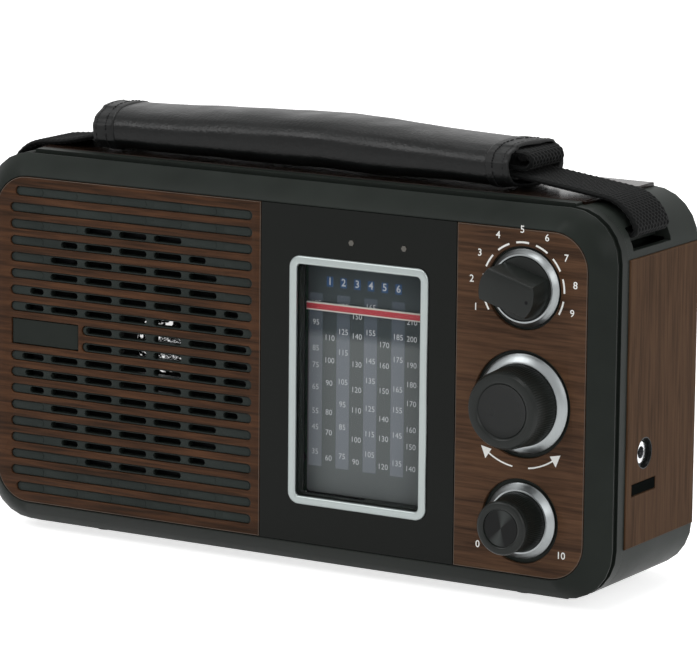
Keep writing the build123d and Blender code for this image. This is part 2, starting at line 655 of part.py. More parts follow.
def dial_panel():
    """Glossy centre panel that holds the dial frame."""
    outline = plate(PANEL_LEFT, PANEL_RIGHT, -TRIM_HEIGHT / 2 + TRIM_GAP, TRIM_HEIGHT / 2 - TRIM_GAP)
    outline -= Pos(DIAL_X, DIAL_Z) * rounded(FRAME_WIDTH + 0.2, FRAME_HEIGHT + 0.2, FRAME_CORNER)
    panel = front(outline, 0, TRIM_THICKNESS)
    for x in LAMP_PLACES:
        panel -= post(LAMP_RADIUS, -1, TRIM_THICKNESS + 1, x, LAMP_Z)
    return panel


def dial_frame():
    """Silver frame round the dial, with a rebate behind that holds the lens."""
    outline = Pos(DIAL_X, DIAL_Z) * rounded(FRAME_WIDTH, FRAME_HEIGHT, FRAME_CORNER)
    frame = front(outline, -FRAME_PROUD, TRIM_THICKNESS)
    opening = Pos(DIAL_X, DIAL_Z) * rounded(WINDOW_WIDTH, WINDOW_HEIGHT, FRAME_CORNER - FRAME_BORDER)
    frame -= front(opening, -FRAME_PROUD - 1, TRIM_THICKNESS + 1)
    rims = frame.faces().sort_by(Axis.Y)[0].edges()
    frame = chamfer(rims, 0.4)
    return frame - front(lens_outline(0.1), TRIM_THICKNESS - LENS_THICKNESS, TRIM_THICKNESS + 1)


def lens_outline(grow=0.0):
    width, height = WINDOW_WIDTH + FRAME_BORDER - 0.8, WINDOW_HEIGHT + FRAME_BORDER - 0.8
    return Pos(DIAL_X, DIAL_Z) * Rectangle(width + grow, height + grow)


def dial_lens():
    return front(lens_outline(), TRIM_THICKNESS - LENS_THICKNESS, TRIM_THICKNESS)


def dial_scale():
    """Scale plate behind the window, seated on the window's rear ribs."""
    outline = plate(
        DIAL_X - WINDOW_WIDTH / 2 - 0.4,
        DIAL_X + WINDOW_WIDTH / 2 + 1.4,
        DIAL_Z - WINDOW_HEIGHT / 2 - 1.4,
        DIAL_Z + WINDOW_HEIGHT / 2 + 1.4,
    )
    return front(outline, SCALE_FACE, SCALE_FACE + SCALE_THICKNESS)


def indicator_lamps():
    """Two small lamp lenses above the dial."""
    return [post(LAMP_RADIUS, -0.2, PLATE_BACK, x, LAMP_Z) for x in LAMP_PLACES]


# ---------------------------------------------------------------- dial drive


def dial_pointer():
    """Pointer bar with the carriage that slides on the guide rod and grips the cord."""
    reach = DIAL_X + WINDOW_WIDTH / 2 - 0.4
    bar = front(
        plate(ROD_X - 2, reach, POINTER_Z - POINTER_HEIGHT / 2, POINTER_Z + POINTER_HEIGHT / 2),
        POINTER_FACE,
        POINTER_FACE + POINTER_THICKNESS,
    )
    height = (POINTER_Z - 3, POINTER_Z + 3)
    carriage = box((ROD_X - 2.4, ROD_X + 2.0), (POINTER_FACE, ROD_DEPTH + 2.4), height)
    clip = box(
        (CORD_X - 1.2, ROD_X + 2.0),
        (ROD_DEPTH + 1.6, DRIVE_DEPTH + 1.2),
        (POINTER_Z - 1.5, POINTER_Z + 1.5),
    )
    pointer = bar + carriage + clip
    pointer -= plan(Pos(ROD_X, ROD_DEPTH) * Circle(ROD_RADIUS + RUNNING_FIT), POINTER_Z - 4, POINTER_Z + 4)
    grip = Rectangle(2 * (CORD_RADIUS + CORD_CLEARANCE), 2 * (CORD_RADIUS + CORD_CLEARANCE))
    return pointer - plan(Pos(CORD_X, DRIVE_DEPTH) * grip, POINTER_Z - 4, POINTER_Z + 4)


def guide_rod():
    return plan(Pos(ROD_X, ROD_DEPTH) * Circle(ROD_RADIUS), ROD_BOTTOM, ROD_TOP)


def grooved_wheel(groove, rim, width, x, z, sides):
    """Cord wheel with a groove round its rim."""
    near, far = DRIVE_DEPTH - width / 2, DRIVE_DEPTH + width / 2
    floor = CORD_RADIUS + CORD_CLEARANCE
    stations = [(rim, near), (groove, DRIVE_DEPTH - floor), (groove, DRIVE_DEPTH + floor), (rim, far)]
    return turned(stations, x, z, sides)


def pulley(z):
    wheel = grooved_wheel(PULLEY_GROOVE, PULLEY_RIM, PULLEY_WIDTH, PULLEY_X, z, SMALL_FACETS)
    low, high = DRIVE_DEPTH - PULLEY_WIDTH, DRIVE_DEPTH + PULLEY_WIDTH
    return wheel - rod(PULLEY_PIN + RUNNING_FIT, low, high, PULLEY_X, z)


def drive_drum():
    """Cord drum with three lightening holes, on the tuning capacitor's stub shaft."""
    drum = grooved_wheel(DRUM_GROOVE, DRUM_GROOVE + DRUM_FLANGE, DRUM_WIDTH, DRUM_X, DRUM_Z, FACETS)
    drum += rod(CAPACITOR_SHAFT, DRIVE_DEPTH - DRUM_WIDTH / 2, CAPACITOR_FACE + 6, DRUM_X, DRUM_Z)
    near, far = DRIVE_DEPTH - DRUM_WIDTH / 2, CAPACITOR_FACE - LOOSE_FIT
    drum += post(2 * CAPACITOR_SHAFT, near, far, DRUM_X, DRUM_Z)
    for turn in range(3):
        angle = turn * 2 * pi / 3
        x = DRUM_X + DRUM_GROOVE * 0.6 * cos(angle)
        z = DRUM_Z + DRUM_GROOVE * 0.6 * sin(angle)
        drum -= post(DRUM_GROOVE * 0.25, DRIVE_DEPTH - DRUM_WIDTH, DRIVE_DEPTH + DRUM_WIDTH, x, z)
    return drum


def tuning_capacitor():
    half = CAPACITOR_SIZE / 2
    body = box(
        (DRUM_X - half, DRUM_X + half), (CAPACITOR_FACE, BOARD_DEPTH), (DRUM_Z - half, DRUM_Z + half)
    )
    body = chamfer(body.edges().filter_by(Axis.Y), 1.5)
    return body - rod(CAPACITOR_SHAFT + RUNNING_FIT, CAPACITOR_FACE - 1, CAPACITOR_FACE + 6.5, DRUM_X, DRUM_Z)


def dial_cord():
    """Closed loop round both pulleys, the drum and the tuning spindle, turning the same way on each."""
    wheels = [
        (PULLEY_X, PULLEY_TOP, PULLEY_CORD),
        (PULLEY_X, PULLEY_BOTTOM, PULLEY_CORD),
        (DRUM_X, DRUM_Z, DRUM_CORD),
        (CONTROL_X, TUNING_Z, SPINDLE_CORD),
    ]
    starts, ends = [], []
    for (x0, z0, r0), (x1, z1, r1) in zip(wheels, wheels[1:] + wheels[:1]):
        run = atan2(z1 - z0, x1 - x0)
        outward = run - acos((r0 - r1) / sqrt((x1 - x0) ** 2 + (z1 - z0) ** 2))
        starts.append((x0 + r0 * cos(outward), z0 + r0 * sin(outward), outward))
        ends.append((x1 + r1 * cos(outward), z1 + r1 * sin(outward), outward))
    edges = []
    for index, (x, z, radius) in enumerate(wheels):
        arrive, leave = ends[index - 1], starts[index]
        middle = arrive[2] + ((leave[2] - arrive[2]) % (2 * pi)) / 2
        over = (x + radius * cos(middle), z + radius * sin(middle))
        edges.append(ThreePointArc(arrive[:2], over, leave[:2]))
        edges.append(Line(leave[:2], ends[index][:2]))
    path = Plane.XZ.offset(-DRIVE_DEPTH) * Wire([edge.edge() for edge in edges])
    section = Plane(path @ 0, z_dir=path % 0) * RegularPolygon(CORD_RADIUS, 4)
    return sweep(section, path)


# ---------------------------------------------------------------- controls


def control_ring(outer, inner, rise, z):
    """Bright bevelled ring pressed on the foot of a knob."""
    ring = turned([(inner + 0.2, -rise), (outer, RING_BACK)], CONTROL_X, z)
    return ring - front(Pos(CONTROL_X, z) * facet(inner), -rise - 1, RING_BACK + 1)


def function_knob():
    """Round skirt with a raised drafted bar across it and a dot at the pointing end."""
    skirt = turned([(FUNCTION_SKIRT, -0.8), (FUNCTION_SKIRT, RING_BACK)], CONTROL_X, FUNCTION_Z)
    turn = Pos(CONTROL_X, FUNCTION_Z) * Rot(0, 0, FUNCTION_ANGLE)
    foot = turn * Rectangle(2 * FUNCTION_BAR_REACH + 1, FUNCTION_BAR_WIDTH + 2.4)
    face = turn * Rectangle(2 * FUNCTION_BAR_REACH + 1, FUNCTION_BAR_WIDTH)
    bar = loft([Plane.XZ * foot, Plane.XZ.offset(-FUNCTION_FACE) * face], ruled=True)
    bar &= rod(FUNCTION_BAR_REACH, FUNCTION_FACE, 0, CONTROL_X, FUNCTION_Z)
    knob = skirt + bar
    angle = radians(FUNCTION_ANGLE)
    dot_x, dot_z = CONTROL_X + 7.0 * cos(angle), FUNCTION_Z + 7.0 * sin(angle)
    knob -= post(0.6, FUNCTION_FACE - 1, FUNCTION_FACE + 0.4, dot_x, dot_z)
    return knob - rod(SHAFT_RADIUS, FUNCTION_FACE + SHAFT_COVER, 2, CONTROL_X, FUNCTION_Z)


def tuning_knob():
    """Broad ribbed knob with a shouldered rim and a dished face."""
    stations = [
        (10.5, TUNING_FACE),
        (11.1, TUNING_FACE + 1.2),
        (TUNING_SKIRT, -1.4),
        (TUNING_SKIRT, RING_BACK),
    ]
    knob = turned(stations, CONTROL_X, TUNING_Z)
    knob -= turned([(8.2, TUNING_FACE), (6.0, TUNING_FACE + 0.8)], CONTROL_X, TUNING_Z)
    return knob - rod(SHAFT_RADIUS, TUNING_FACE + SHAFT_COVER, 2, CONTROL_X, TUNING_Z)


def volume_knob():
    """Waisted knob with a rolled rim and a dished face."""
    stations = [
        (7.4, VOLUME_FACE),
        (7.8, VOLUME_FACE + 0.8),
        (7.5, VOLUME_FACE + 4.0),
        (VOLUME_SKIRT, -1.4),
        (VOLUME_SKIRT, RING_BACK),
    ]
    knob = turned(stations, CONTROL_X, VOLUME_Z)
    knob -= turned([(5.8, VOLUME_FACE), (4.0, VOLUME_FACE + 0.8)], CONTROL_X, VOLUME_Z)
    return knob - rod(SHAFT_RADIUS, VOLUME_FACE + SHAFT_COVER, 2, CONTROL_X, VOLUME_Z)


def function_ring():
    return control_ring(FUNCTION_RECESS - 0.7, FUNCTION_SKIRT, 0.9, FUNCTION_Z)


def tuning_ring():
    return control_ring(TUNING_RECESS - 1.0, TUNING_SKIRT, 1.1, TUNING_Z)


def volume_ring():
    return control_ring(VOLUME_RECESS - 1.2, VOLUME_SKIRT, 1.0, VOLUME_Z)


def control_shaft(knob_face, z, far):
    """Shaft from inside a knob back to a depth."""
    return rod(SHAFT_RADIUS, knob_face + SHAFT_COVER, far, CONTROL_X, z)


def tuning_spindle():
    """Tuning shaft with the groove that drives the cord."""
    spindle = control_shaft(TUNING_FACE, TUNING_Z, DRIVE_DEPTH + 2.4)
    half = CORD_RADIUS + CORD_CLEARANCE
    groove = Circle(SHAFT_RADIUS + 1) - Circle(SPINDLE_GROOVE)
    return spindle - front(Pos(CONTROL_X, TUNING_Z) * groove, DRIVE_DEPTH - half, DRIVE_DEPTH + half)


def switch_body(sketch, z):
    """Control body behind the front plate, with the bush that its shaft turns in."""
    body = front(sketch, PLATE_BACK, SWITCH_DEPTH)
    body += post(BUSH_RADIUS, PLATE_FACE + 0.2, PLATE_BACK + 0.5, CONTROL_X, z)
    return body - rod(SHAFT_RADIUS + RUNNING_FIT, PLATE_FACE - 1, SWITCH_DEPTH - 1, CONTROL_X, z)


def band_switch():
    return switch_body(Pos(CONTROL_X, FUNCTION_Z) * RegularPolygon(SWITCH_RADIUS, 8), FUNCTION_Z)


def volume_control():
    return switch_body(Pos(CONTROL_X, VOLUME_Z) * facet(POT_RADIUS), VOLUME_Z)


# ---------------------------------------------------------------- side trims, top panel, feet


def side_panel(hand):
    """Wood-look side trim, on the right for hand 1 and on the left for hand -1."""
    skin = HALF_WIDTH - PANEL_INLAY
    outline = plate(
        PARTING + PANEL_MARGIN + 0.1,
        SIDE_BACK - PANEL_MARGIN - 0.1,
        -SIDE_PANEL_HEIGHT / 2 + 0.1,
        SIDE_PANEL_HEIGHT / 2 - 0.1,
    )
    panel = side(outline, skin, HALF_WIDTH + SIDE_PANEL_PROUD)
    panel = chamfer(panel.faces().sort_by(Axis.X)[-1].edges(), 0.2)
    return panel if hand > 0 else mirror(panel, Plane.YZ)


def side_panel_right():
    panel = side_panel(1)
    panel -= side(Pos(JACK_Y, JACK_Z) * Circle(JACK_WELL), HALF_WIDTH - WALL, HALF_WIDTH + 2)
    label = plate(JACK_Y - 7.7, JACK_Y + 7.0, JACK_Z - 11.5, JACK_Z - 7.8)
    return panel - side(label, HALF_WIDTH + SIDE_PANEL_PROUD - 0.4, HALF_WIDTH + 2)


def side_panel_left():
    panel = side_panel(-1)
    openings = Sketch() + [USB_SKETCH, CARD_SKETCH]
    openings += [button_outline(y, z, LOOSE_FIT) for y, z in BUTTON_PLACES]
    return panel - side(openings, -HALF_WIDTH - 2, -HALF_WIDTH + WALL)


def top_panel():
    half = TOP_PANEL_WIDTH / 2 - 0.1
    panel = box(
        (-half, half),
        (PARTING + PANEL_MARGIN + 0.1, SIDE_BACK - PANEL_MARGIN - 0.1),
        (HALF_HEIGHT - PANEL_INLAY, HALF_HEIGHT + TOP_PANEL_PROUD),
    )
    return chamfer(panel.faces().sort_by(Axis.Z)[-1].edges(), 0.2)


def feet():
    """Four rubber feet stuck to the land along the rear shell's underside."""
    pads = []
    for x, y in foot_places():
        pads.append(plan(Pos(x, y) * facet(FOOT_RADIUS, SMALL_FACETS), FOOT_BOTTOM, -HALF_HEIGHT - LAND))
    return pads


# ---------------------------------------------------------------- carry strap


def strap_route():
    """Centre line of the webbing from one anchor bar, out of its slot, over the case and into the other."""
    start = (ANCHOR_X, ANCHOR_Z + ANCHOR_SIZE / 2 + STRAP_THICKNESS / 2)
    bend = (HALF_WIDTH, SLOT_HIGH - 1.0)
    shoulder = (HALF_WIDTH - 4.6, HALF_HEIGHT + 0.85)
    grip_left, grip_right = (GRIP_LEFT - 2.0, GRIP_TUNNEL_Z), (GRIP_RIGHT + 2.0, GRIP_TUNNEL_Z)
    right = [grip_right, shoulder, bend, start]
    left = [(-x, z) for x, z in (start, bend, shoulder)] + [grip_left]
    return FilletPolyline(*left, *right, radius=[1.6, 12.5, 40.0, 40.0, 12.5, 1.6])


def handle_strap():
    path = Plane.XZ.offset(-STRAP_Y) * Wire(strap_route().edges())
    section = Plane(path @ 0, x_dir=(0, 1, 0), z_dir=path % 0) * Rectangle(STRAP_WIDTH, STRAP_THICKNESS)
    strap = sweep(section, path)
    near, far = STRAP_Y - STRAP_WIDTH / 2, STRAP_Y + STRAP_WIDTH / 2
    for x in (-ANCHOR_X, ANCHOR_X):
        size = ANCHOR_SIZE + 2 * STRAP_THICKNESS
        loop = Pos(x, ANCHOR_Z) * Rectangle(size, size)
        strap += front(loop, near, far)
        strap -= front(Pos(x, ANCHOR_Z) * Rectangle(ANCHOR_SIZE, ANCHOR_SIZE), near - 1, far + 1)
    return strap


def handle_grip():
    """Padded grip wrapped round the middle of the webbing, open at both ends."""
    section = Pos(STRAP_Y, (GRIP_BOTTOM + GRIP_TOP) / 2) * rounded(GRIP_WIDTH, GRIP_TOP - GRIP_BOTTOM, 6.0)
    section -= Pos(STRAP_Y, GRIP_TUNNEL_Z) * Rectangle(STRAP_WIDTH + 1.0, STRAP_THICKNESS + 0.9)
    return side(section, GRIP_LEFT, GRIP_RIGHT)


# ---------------------------------------------------------------- speaker


def speaker_frame():
    """Pressed frame: a square flange, four arms and the plate that the magnet is fixed to."""
    flange_back = SPEAKER_FACE + SPEAKER_FLANGE
    basket_back = flange_back + BASKET_DEPTH
    where = Pos(SPEAKER_X, 0)
    flange = chamfer(Rectangle(2 * SPEAKER_RADIUS, 2 * SPEAKER_RADIUS).vertices(), SPEAKER_CORNER)
    frame = front(where * (flange - facet(CONE_RADIUS + 1)), SPEAKER_FACE, flange_back)
    frame += front(where * RegularPolygon(BASKET_NECK + 3, 8), basket_back, basket_back + 1)
    for turn in range(4):
        arm_foot = where * Rot(0, 0, 90 * turn) * Pos(CONE_RADIUS + 2.4, 0) * Rectangle(2, BASKET_ARM)
        arm_head = where * Rot(0, 0, 90 * turn) * Pos(BASKET_NECK, 0) * Rectangle(2, BASKET_ARM)
        foot, head = Plane.XZ.offset(-flange_back) * arm_foot, Plane.XZ.offset(-basket_back) * arm_head
        frame += loft([foot, head], ruled=True)
    for x, z in speaker_holes():
        frame -= post(1.5, SPEAKER_FACE - 1, flange_back + 1, x, z)
    return frame


def speaker_magnet():
    near = SPEAKER_FACE + SPEAKER_FLANGE + BASKET_DEPTH + 1
    return turned([(MAGNET_RADIUS, near), (MAGNET_RADIUS, near + MAGNET_THICKNESS)], SPEAKER_X)


def speaker_cone():
    """Paper cone with its flat surround."""
    rim = SPEAKER_FACE + SPEAKER_FLANGE
    neck = rim + CONE_DEPTH
    surround = front(Pos(SPEAKER_X, 0) * facet(CONE_RADIUS + 1), rim - 0.9, rim - 0.3)
    cone = surround + turned([(CONE_RADIUS - 3.8, rim - 0.3), (DUST_CAP_RADIUS, neck)], SPEAKER_X)
    bowl = [(CONE_RADIUS - 4.4, rim - 0.9), (CONE_RADIUS - 4.4, rim - 0.4), (DUST_CAP_RADIUS - 0.6, neck)]
    return cone - turned(bowl, SPEAKER_X)


def dust_cap():
    """Domed metal cap at the middle of the cone."""
    neck = SPEAKER_FACE + SPEAKER_FLANGE + CONE_DEPTH
    radius = DUST_CAP_RADIUS - 0.6
    stations = [(0.4 * radius, neck - 3.8), (0.8 * radius, neck - 3.0), (radius, neck - 1.2), (radius, neck)]
    cap = turned(stations, SPEAKER_X)
    return cap - turned([(0.8 * radius, neck - 2.4), (0.9 * radius, neck)], SPEAKER_X)


# ---------------------------------------------------------------- electronics


def main_board():
    """Circuit board with its soldered parts, notched round the speaker."""
    outline = plate(BOARD_LEFT, BOARD_RIGHT, -BOARD_HEIGHT / 2, BOARD_HEIGHT / 2, 2.0)
    for x, z in BOARD_POSTS:
        outline -= Pos(x, z) * RegularPolygon(1.4, 6)
    for x, z in CASE_BOSSES:
        outline -= Pos(x, z) * RegularPolygon(CASE_BOSS_RADIUS + 1, 6)
    back = BOARD_DEPTH + BOARD_THICKNESS
    board = front(outline, BOARD_DEPTH, back)
    board_width = BOARD_RIGHT - BOARD_LEFT
    for share, z, width, height, tall in (
        (0.77, 10.0, 18.0, 7.0, 3.0),
        (0.77, -12.0, 22.0, 8.0, 3.0),
        (0.32, 20.0, 9.0, 14.0, 3.0),
        (0.95, 16.0, 6.0, 12.0, 3.0),
        (0.51, 28.0, 7.0, 7.0, 4.0),
        (0.61, 22.0, 7.0, 7.0, 4.0),
        (0.71, 28.0, 7.0, 7.0, 4.0),
        (0.81, 22.0, 7.0, 7.0, 4.0),
    ):
        where = Pos(BOARD_LEFT + share * board_width, z)
        board += front(where * Rectangle(width, height), back - 0.2, back + tall)
    for share, z, radius in ((0.12, 12.0, 4.0), (0.12, 0.0, 4.0), (0.22, -14.0, 3.2), (0.95, -2.0, 3.2)):
        board += post(radius, back - 0.2, back + 4.4, BOARD_LEFT + share * board_width, z)
    saddle = plate(back - 0.2, FERRITE_Y + 1.5, FERRITE_Z - 5.5, FERRITE_Z + 5.5)
    saddle -= Pos(FERRITE_Y + 2, FERRITE_Z) * Rectangle(2 * FERRITE_RADIUS + 4, 2 * FERRITE_RADIUS)
    for x in (FERRITE_LEFT + 24.0, FERRITE_LEFT + FERRITE_LENGTH - 27.0):
        board += side(saddle, x, x + 3.0)
    return board


def ferrite_rod():
    """Ferrite rod with its two windings."""
    where = Pos(FERRITE_Y, FERRITE_Z)
    aerial = side(where * facet(FERRITE_RADIUS, SMALL_FACETS), FERRITE_LEFT, FERRITE_LEFT + FERRITE_LENGTH)
    for x in (FERRITE_LEFT + 6.0, FERRITE_LEFT + FERRITE_LENGTH - 20.0):
        aerial += side(where * RegularPolygon(FERRITE_RADIUS + 1.4, 8), x, x + 14.0)
    return aerial


def transformer():
    """Mains transformer against the back wall: laminated core with a wound bobbin through it."""
    low, high = BAY_TOP + BAY_WALL, NOTCH_FLOOR - WALL
    tall = 0.7 * (high - low)
    where, y = Pos(INLET_X - 32.0, low + tall / 2 + 0.2), CASE_BACK - WALL - 13.0
    core = front(where * Rectangle(1.2 * tall, tall), y - 8, y + 8)
    coil = front(where * Rectangle(0.84 * tall, 0.68 * tall), y - 13, y + 13)
    return core + coil


def inlet_outline(inset=0.0):
    """Oblong with cut corners."""
    width, height = INLET_WIDTH - 2 * inset, INLET_HEIGHT - 2 * inset
    return chamfer(Rectangle(width, height).vertices(), 0.3 * height)


def mains_inlet():
    """Two-pin inlet seated in the back wall."""
    where = Pos(INLET_X, INLET_Z)
    body = front(where * Rectangle(INLET_WIDTH + 5, INLET_HEIGHT + 4), CASE_BACK - 15, CASE_BACK - WALL)
    body += front(where * inlet_outline(0.1), CASE_BACK - WALL - 1, CASE_BACK)
    body -= front(where * inlet_outline(1.0), CASE_BACK - 12, CASE_BACK + 1)
    for x in (-4.3, 4.3):
        body += post(1.3, CASE_BACK - 12.5, CASE_BACK - 3, INLET_X + x, INLET_Z)
    return body


def headphone_jack():
    """3.5 mm socket with a bright ferrule, facing out of the right side."""
    mouth = HALF_WIDTH + SIDE_PANEL_PROUD - 1.3
    where = Pos(JACK_Y, JACK_Z)
    jack = side(where * Rectangle(9, 11), mouth - 16, HALF_WIDTH - WALL)
    jack += side(where * Circle(JACK_FERRULE), HALF_WIDTH - WALL - 1, mouth)
    jack += side(where * RegularPolygon(JACK_WELL - 0.7, 6), HALF_WIDTH - WALL - 0.5, mouth - 0.8)
    return jack - side(where * Circle(JACK_BORE), mouth - JACK_DEPTH, mouth + 1)


def media_board():
    """Small board inside the left side that carries the sockets and the button switches."""
    outline = plate(14.0, 51.0, CARD_Z - 5.0, BUTTON_Z + 9.0)
    for y, z in MEDIA_POSTS:
        outline -= Pos(y, z) * Rectangle(2, 2)
    board = side(outline, MEDIA_BOARD_X, MEDIA_BOARD_X + BOARD_THICKNESS)
    for y, z in BUTTON_PLACES:
        board += side(Pos(y, z) * Rectangle(6, 6), MEDIA_BOARD_X - 3.5, MEDIA_BOARD_X + 0.2)
    return board


def usb_socket():
    """Type A socket with its contact tongue."""
    where = Pos(MEDIA_Y, USB_Z)
    shell = side(where * Rectangle(USB_WIDTH - 0.2, USB_HEIGHT - 0.2), -HALF_WIDTH, MEDIA_BOARD_X)
    shell -= side(where * Rectangle(USB_WIDTH - 1.2, USB_HEIGHT - 1.2), -HALF_WIDTH - 1, MEDIA_BOARD_X - 1)
    tongue = Pos(0, 1.0) * where * Rectangle(USB_WIDTH - 2.4, 1.4)
    return shell + side(tongue, -HALF_WIDTH + 5, MEDIA_BOARD_X - 0.5)


def card_socket():
    where = Pos(MEDIA_Y, CARD_Z)
    shell = side(where * Rectangle(CARD_WIDTH - 0.2, CARD_HEIGHT - 0.2), -HALF_WIDTH, MEDIA_BOARD_X)
    mouth = where * Rectangle(CARD_WIDTH - 1.2, CARD_HEIGHT - 1.4)
    return shell - side(mouth, -HALF_WIDTH - 1, MEDIA_BOARD_X - 1)


def media_button(index):
    """Push button that runs in the side panel and stops against its switch."""
    y, z = BUTTON_PLACES[index]
    skin = -HALF_WIDTH + WALL
    cap = side(button_outline(y, z), -HALF_WIDTH - SIDE_PANEL_PROUD - BUTTON_PROUD, skin)
    flange = side(Pos(y, z) * Rectangle(2 * BUTTON_RADIUS + 2, 2 * BUTTON_RADIUS + 2), skin, skin + 1)
    stem = side(Pos(y, z) * Rectangle(2.4, 2.4), skin, MEDIA_BOARD_X - 3.7 - BUTTON_TRAVEL)
    return cap + flange + stem


# ---------------------------------------------------------------- batteries


def battery_cells():
    """Four cells in two rows, each with its raised terminal."""
    cells = []
    start = BAY_LEFT + 4.0
    for z in (CELL_TOP_Z, CELL_LOW_Z):
        for x in (start, start + CELL_LENGTH):
            where = Pos(CELL_Y, z - LOOSE_FIT)
            can = side(where * facet(CELL_RADIUS, SMALL_FACETS), x, x + CELL_LENGTH - 2.1)
            cells.append(can + side(where * RegularPolygon(3.2, 6), x + CELL_LENGTH - 2.5, x + CELL_LENGTH))
    return cells


def battery_contacts():
    """Contact plates and conical springs at the ends of the bay."""
    parts = []
    for z in (CELL_TOP_Z, CELL_LOW_Z):
        where = Pos(CELL_Y, z)
        spring = side(where * Rectangle(12, 12), BAY_LEFT, BAY_LEFT + 0.5)
        for step in range(3):
            radius = 5.0 - 0.7 * step
            turn = RegularPolygon(radius, 6) - RegularPolygon(radius - 0.9, 6)
            spring += side(where * turn, BAY_LEFT + 0.4 + step * 1.2, BAY_LEFT + 1.6 + step * 1.2)
        parts.append(spring)
        parts.append(side(where * Rectangle(12, 12), BAY_RIGHT - 4.0, BAY_RIGHT))
    return parts


def battery_door():
    """Ribbed door that hinges at its lower edge and latches at the upper one."""
    left, right, low, high = door_edges()
    middle = (left + right) / 2
    door = front(plate(left, right, low + DOOR_THICKNESS / 2, high), DOOR_FACE, CASE_BACK)
    door += side(Pos(DOOR_AXIS_Y, DOOR_AXIS_Z) * Circle(DOOR_THICKNESS / 2), left, right)
    for step in range(5):
        z = high - 4.0 - 2.2 * step
        door -= box((middle - 12, middle + 12), (CASE_BACK - 0.5, CASE_BACK + 1), (z - 0.5, z + 0.5))
    pins = Pos(DOOR_AXIS_Y, DOOR_AXIS_Z) * Circle(DOOR_PIN)
    return door + side(pins, left - DOOR_PIN_LENGTH, right + DOOR_PIN_LENGTH)


# ---------------------------------------------------------------- aerial


def aerial_base():
    """Swivel stem with two ears and the pin that the aerial tilts on."""
    where = Pos(AERIAL_X, AERIAL_Y)
    base = plan(where * Circle(AERIAL_STEM), AERIAL_Z - 10.2, NOTCH_FLOOR + 0.3)
    base += plan(where * RegularPolygon(AERIAL_STEM + 0.4, 8), NOTCH_FLOOR + 0.3, NOTCH_FLOOR + 0.9)
    for near in (AERIAL_Y - TONGUE / 2 - 0.3 - EAR, AERIAL_Y + TONGUE / 2 + 0.3):
        ear = plate(AERIAL_X - EAR_REACH, AERIAL_X + EAR_REACH, NOTCH_FLOOR + 0.8, AERIAL_Z + 1.2)
        ear += Pos(AERIAL_X, AERIAL_Z) * RegularPolygon(EAR_REACH, 8)
        base += front(ear, near, near + EAR)
    return base + rod(AERIAL_PIN, AERIAL_Y - TONGUE, AERIAL_Y + TONGUE, AERIAL_X, AERIAL_Z)


def aerial_tube(section):
    """One section of the telescopic rod, 0 being the outermost. Each runs inside the one before."""
    shrink = section * (AERIAL_WALL + AERIAL_FIT)
    radius = AERIAL_RADIUS - shrink
    right = AERIAL_X - TONGUE_REACH - 2.0 * section
    left = AERIAL_X - TONGUE_REACH - AERIAL_LENGTH - 2.5 * section
    where = Pos(AERIAL_Y, AERIAL_Z)
    last = section == AERIAL_SECTIONS - 1
    tube = side(where * facet(radius, SMALL_FACETS), left, right)
    if not last:
        tube -= side(where * facet(radius - AERIAL_WALL, SMALL_FACETS), left - 1, right - 1.5)
    if section == 0:
        tongue = plate(AERIAL_X - TONGUE_REACH - 0.5, AERIAL_X + 1.2, AERIAL_Z - 1.9, AERIAL_Z + 1.9)
        tongue -= Pos(AERIAL_X, AERIAL_Z) * Circle(AERIAL_PIN + RUNNING_FIT)
        tube += front(tongue, AERIAL_Y - TONGUE / 2, AERIAL_Y + TONGUE / 2)
    if last:
        tube += side(where * facet(AERIAL_TIP, SMALL_FACETS), left - 3.0, left)
    return tube


# ---------------------------------------------------------------- screws


def screw(x, y, z, radius, length, head):
    """Screw driven towards the front, its head's underside at depth y."""
    return post(radius, y - length, y, x, z) + post(head, y, y + 0.6 * head, x, z)


def inner_screws():
    """Identical screws that hold the speaker and the circuit board."""
    seats = [(x, SPEAKER_FACE + SPEAKER_FLANGE, z) for x, z in speaker_holes()]
    seats += [(x, BOARD_DEPTH + BOARD_THICKNESS, z) for x, z in BOARD_POSTS]
    return [screw(x, y, z, PILOT_RADIUS - 0.05, 3.7, BOSS_RADIUS - 0.2) for x, y, z in seats]


def case_screws():
    """Long screws from the back that draw the two shells together."""
    seat = CASE_BACK - SCREW_WELL
    length = seat - PARTING + 6
    return [screw(x, seat, z, CASE_SCREW_RADIUS, length, CASE_SCREW_HEAD) for x, z in CASE_BOSSES]


# ---------------------------------------------------------------- write every node

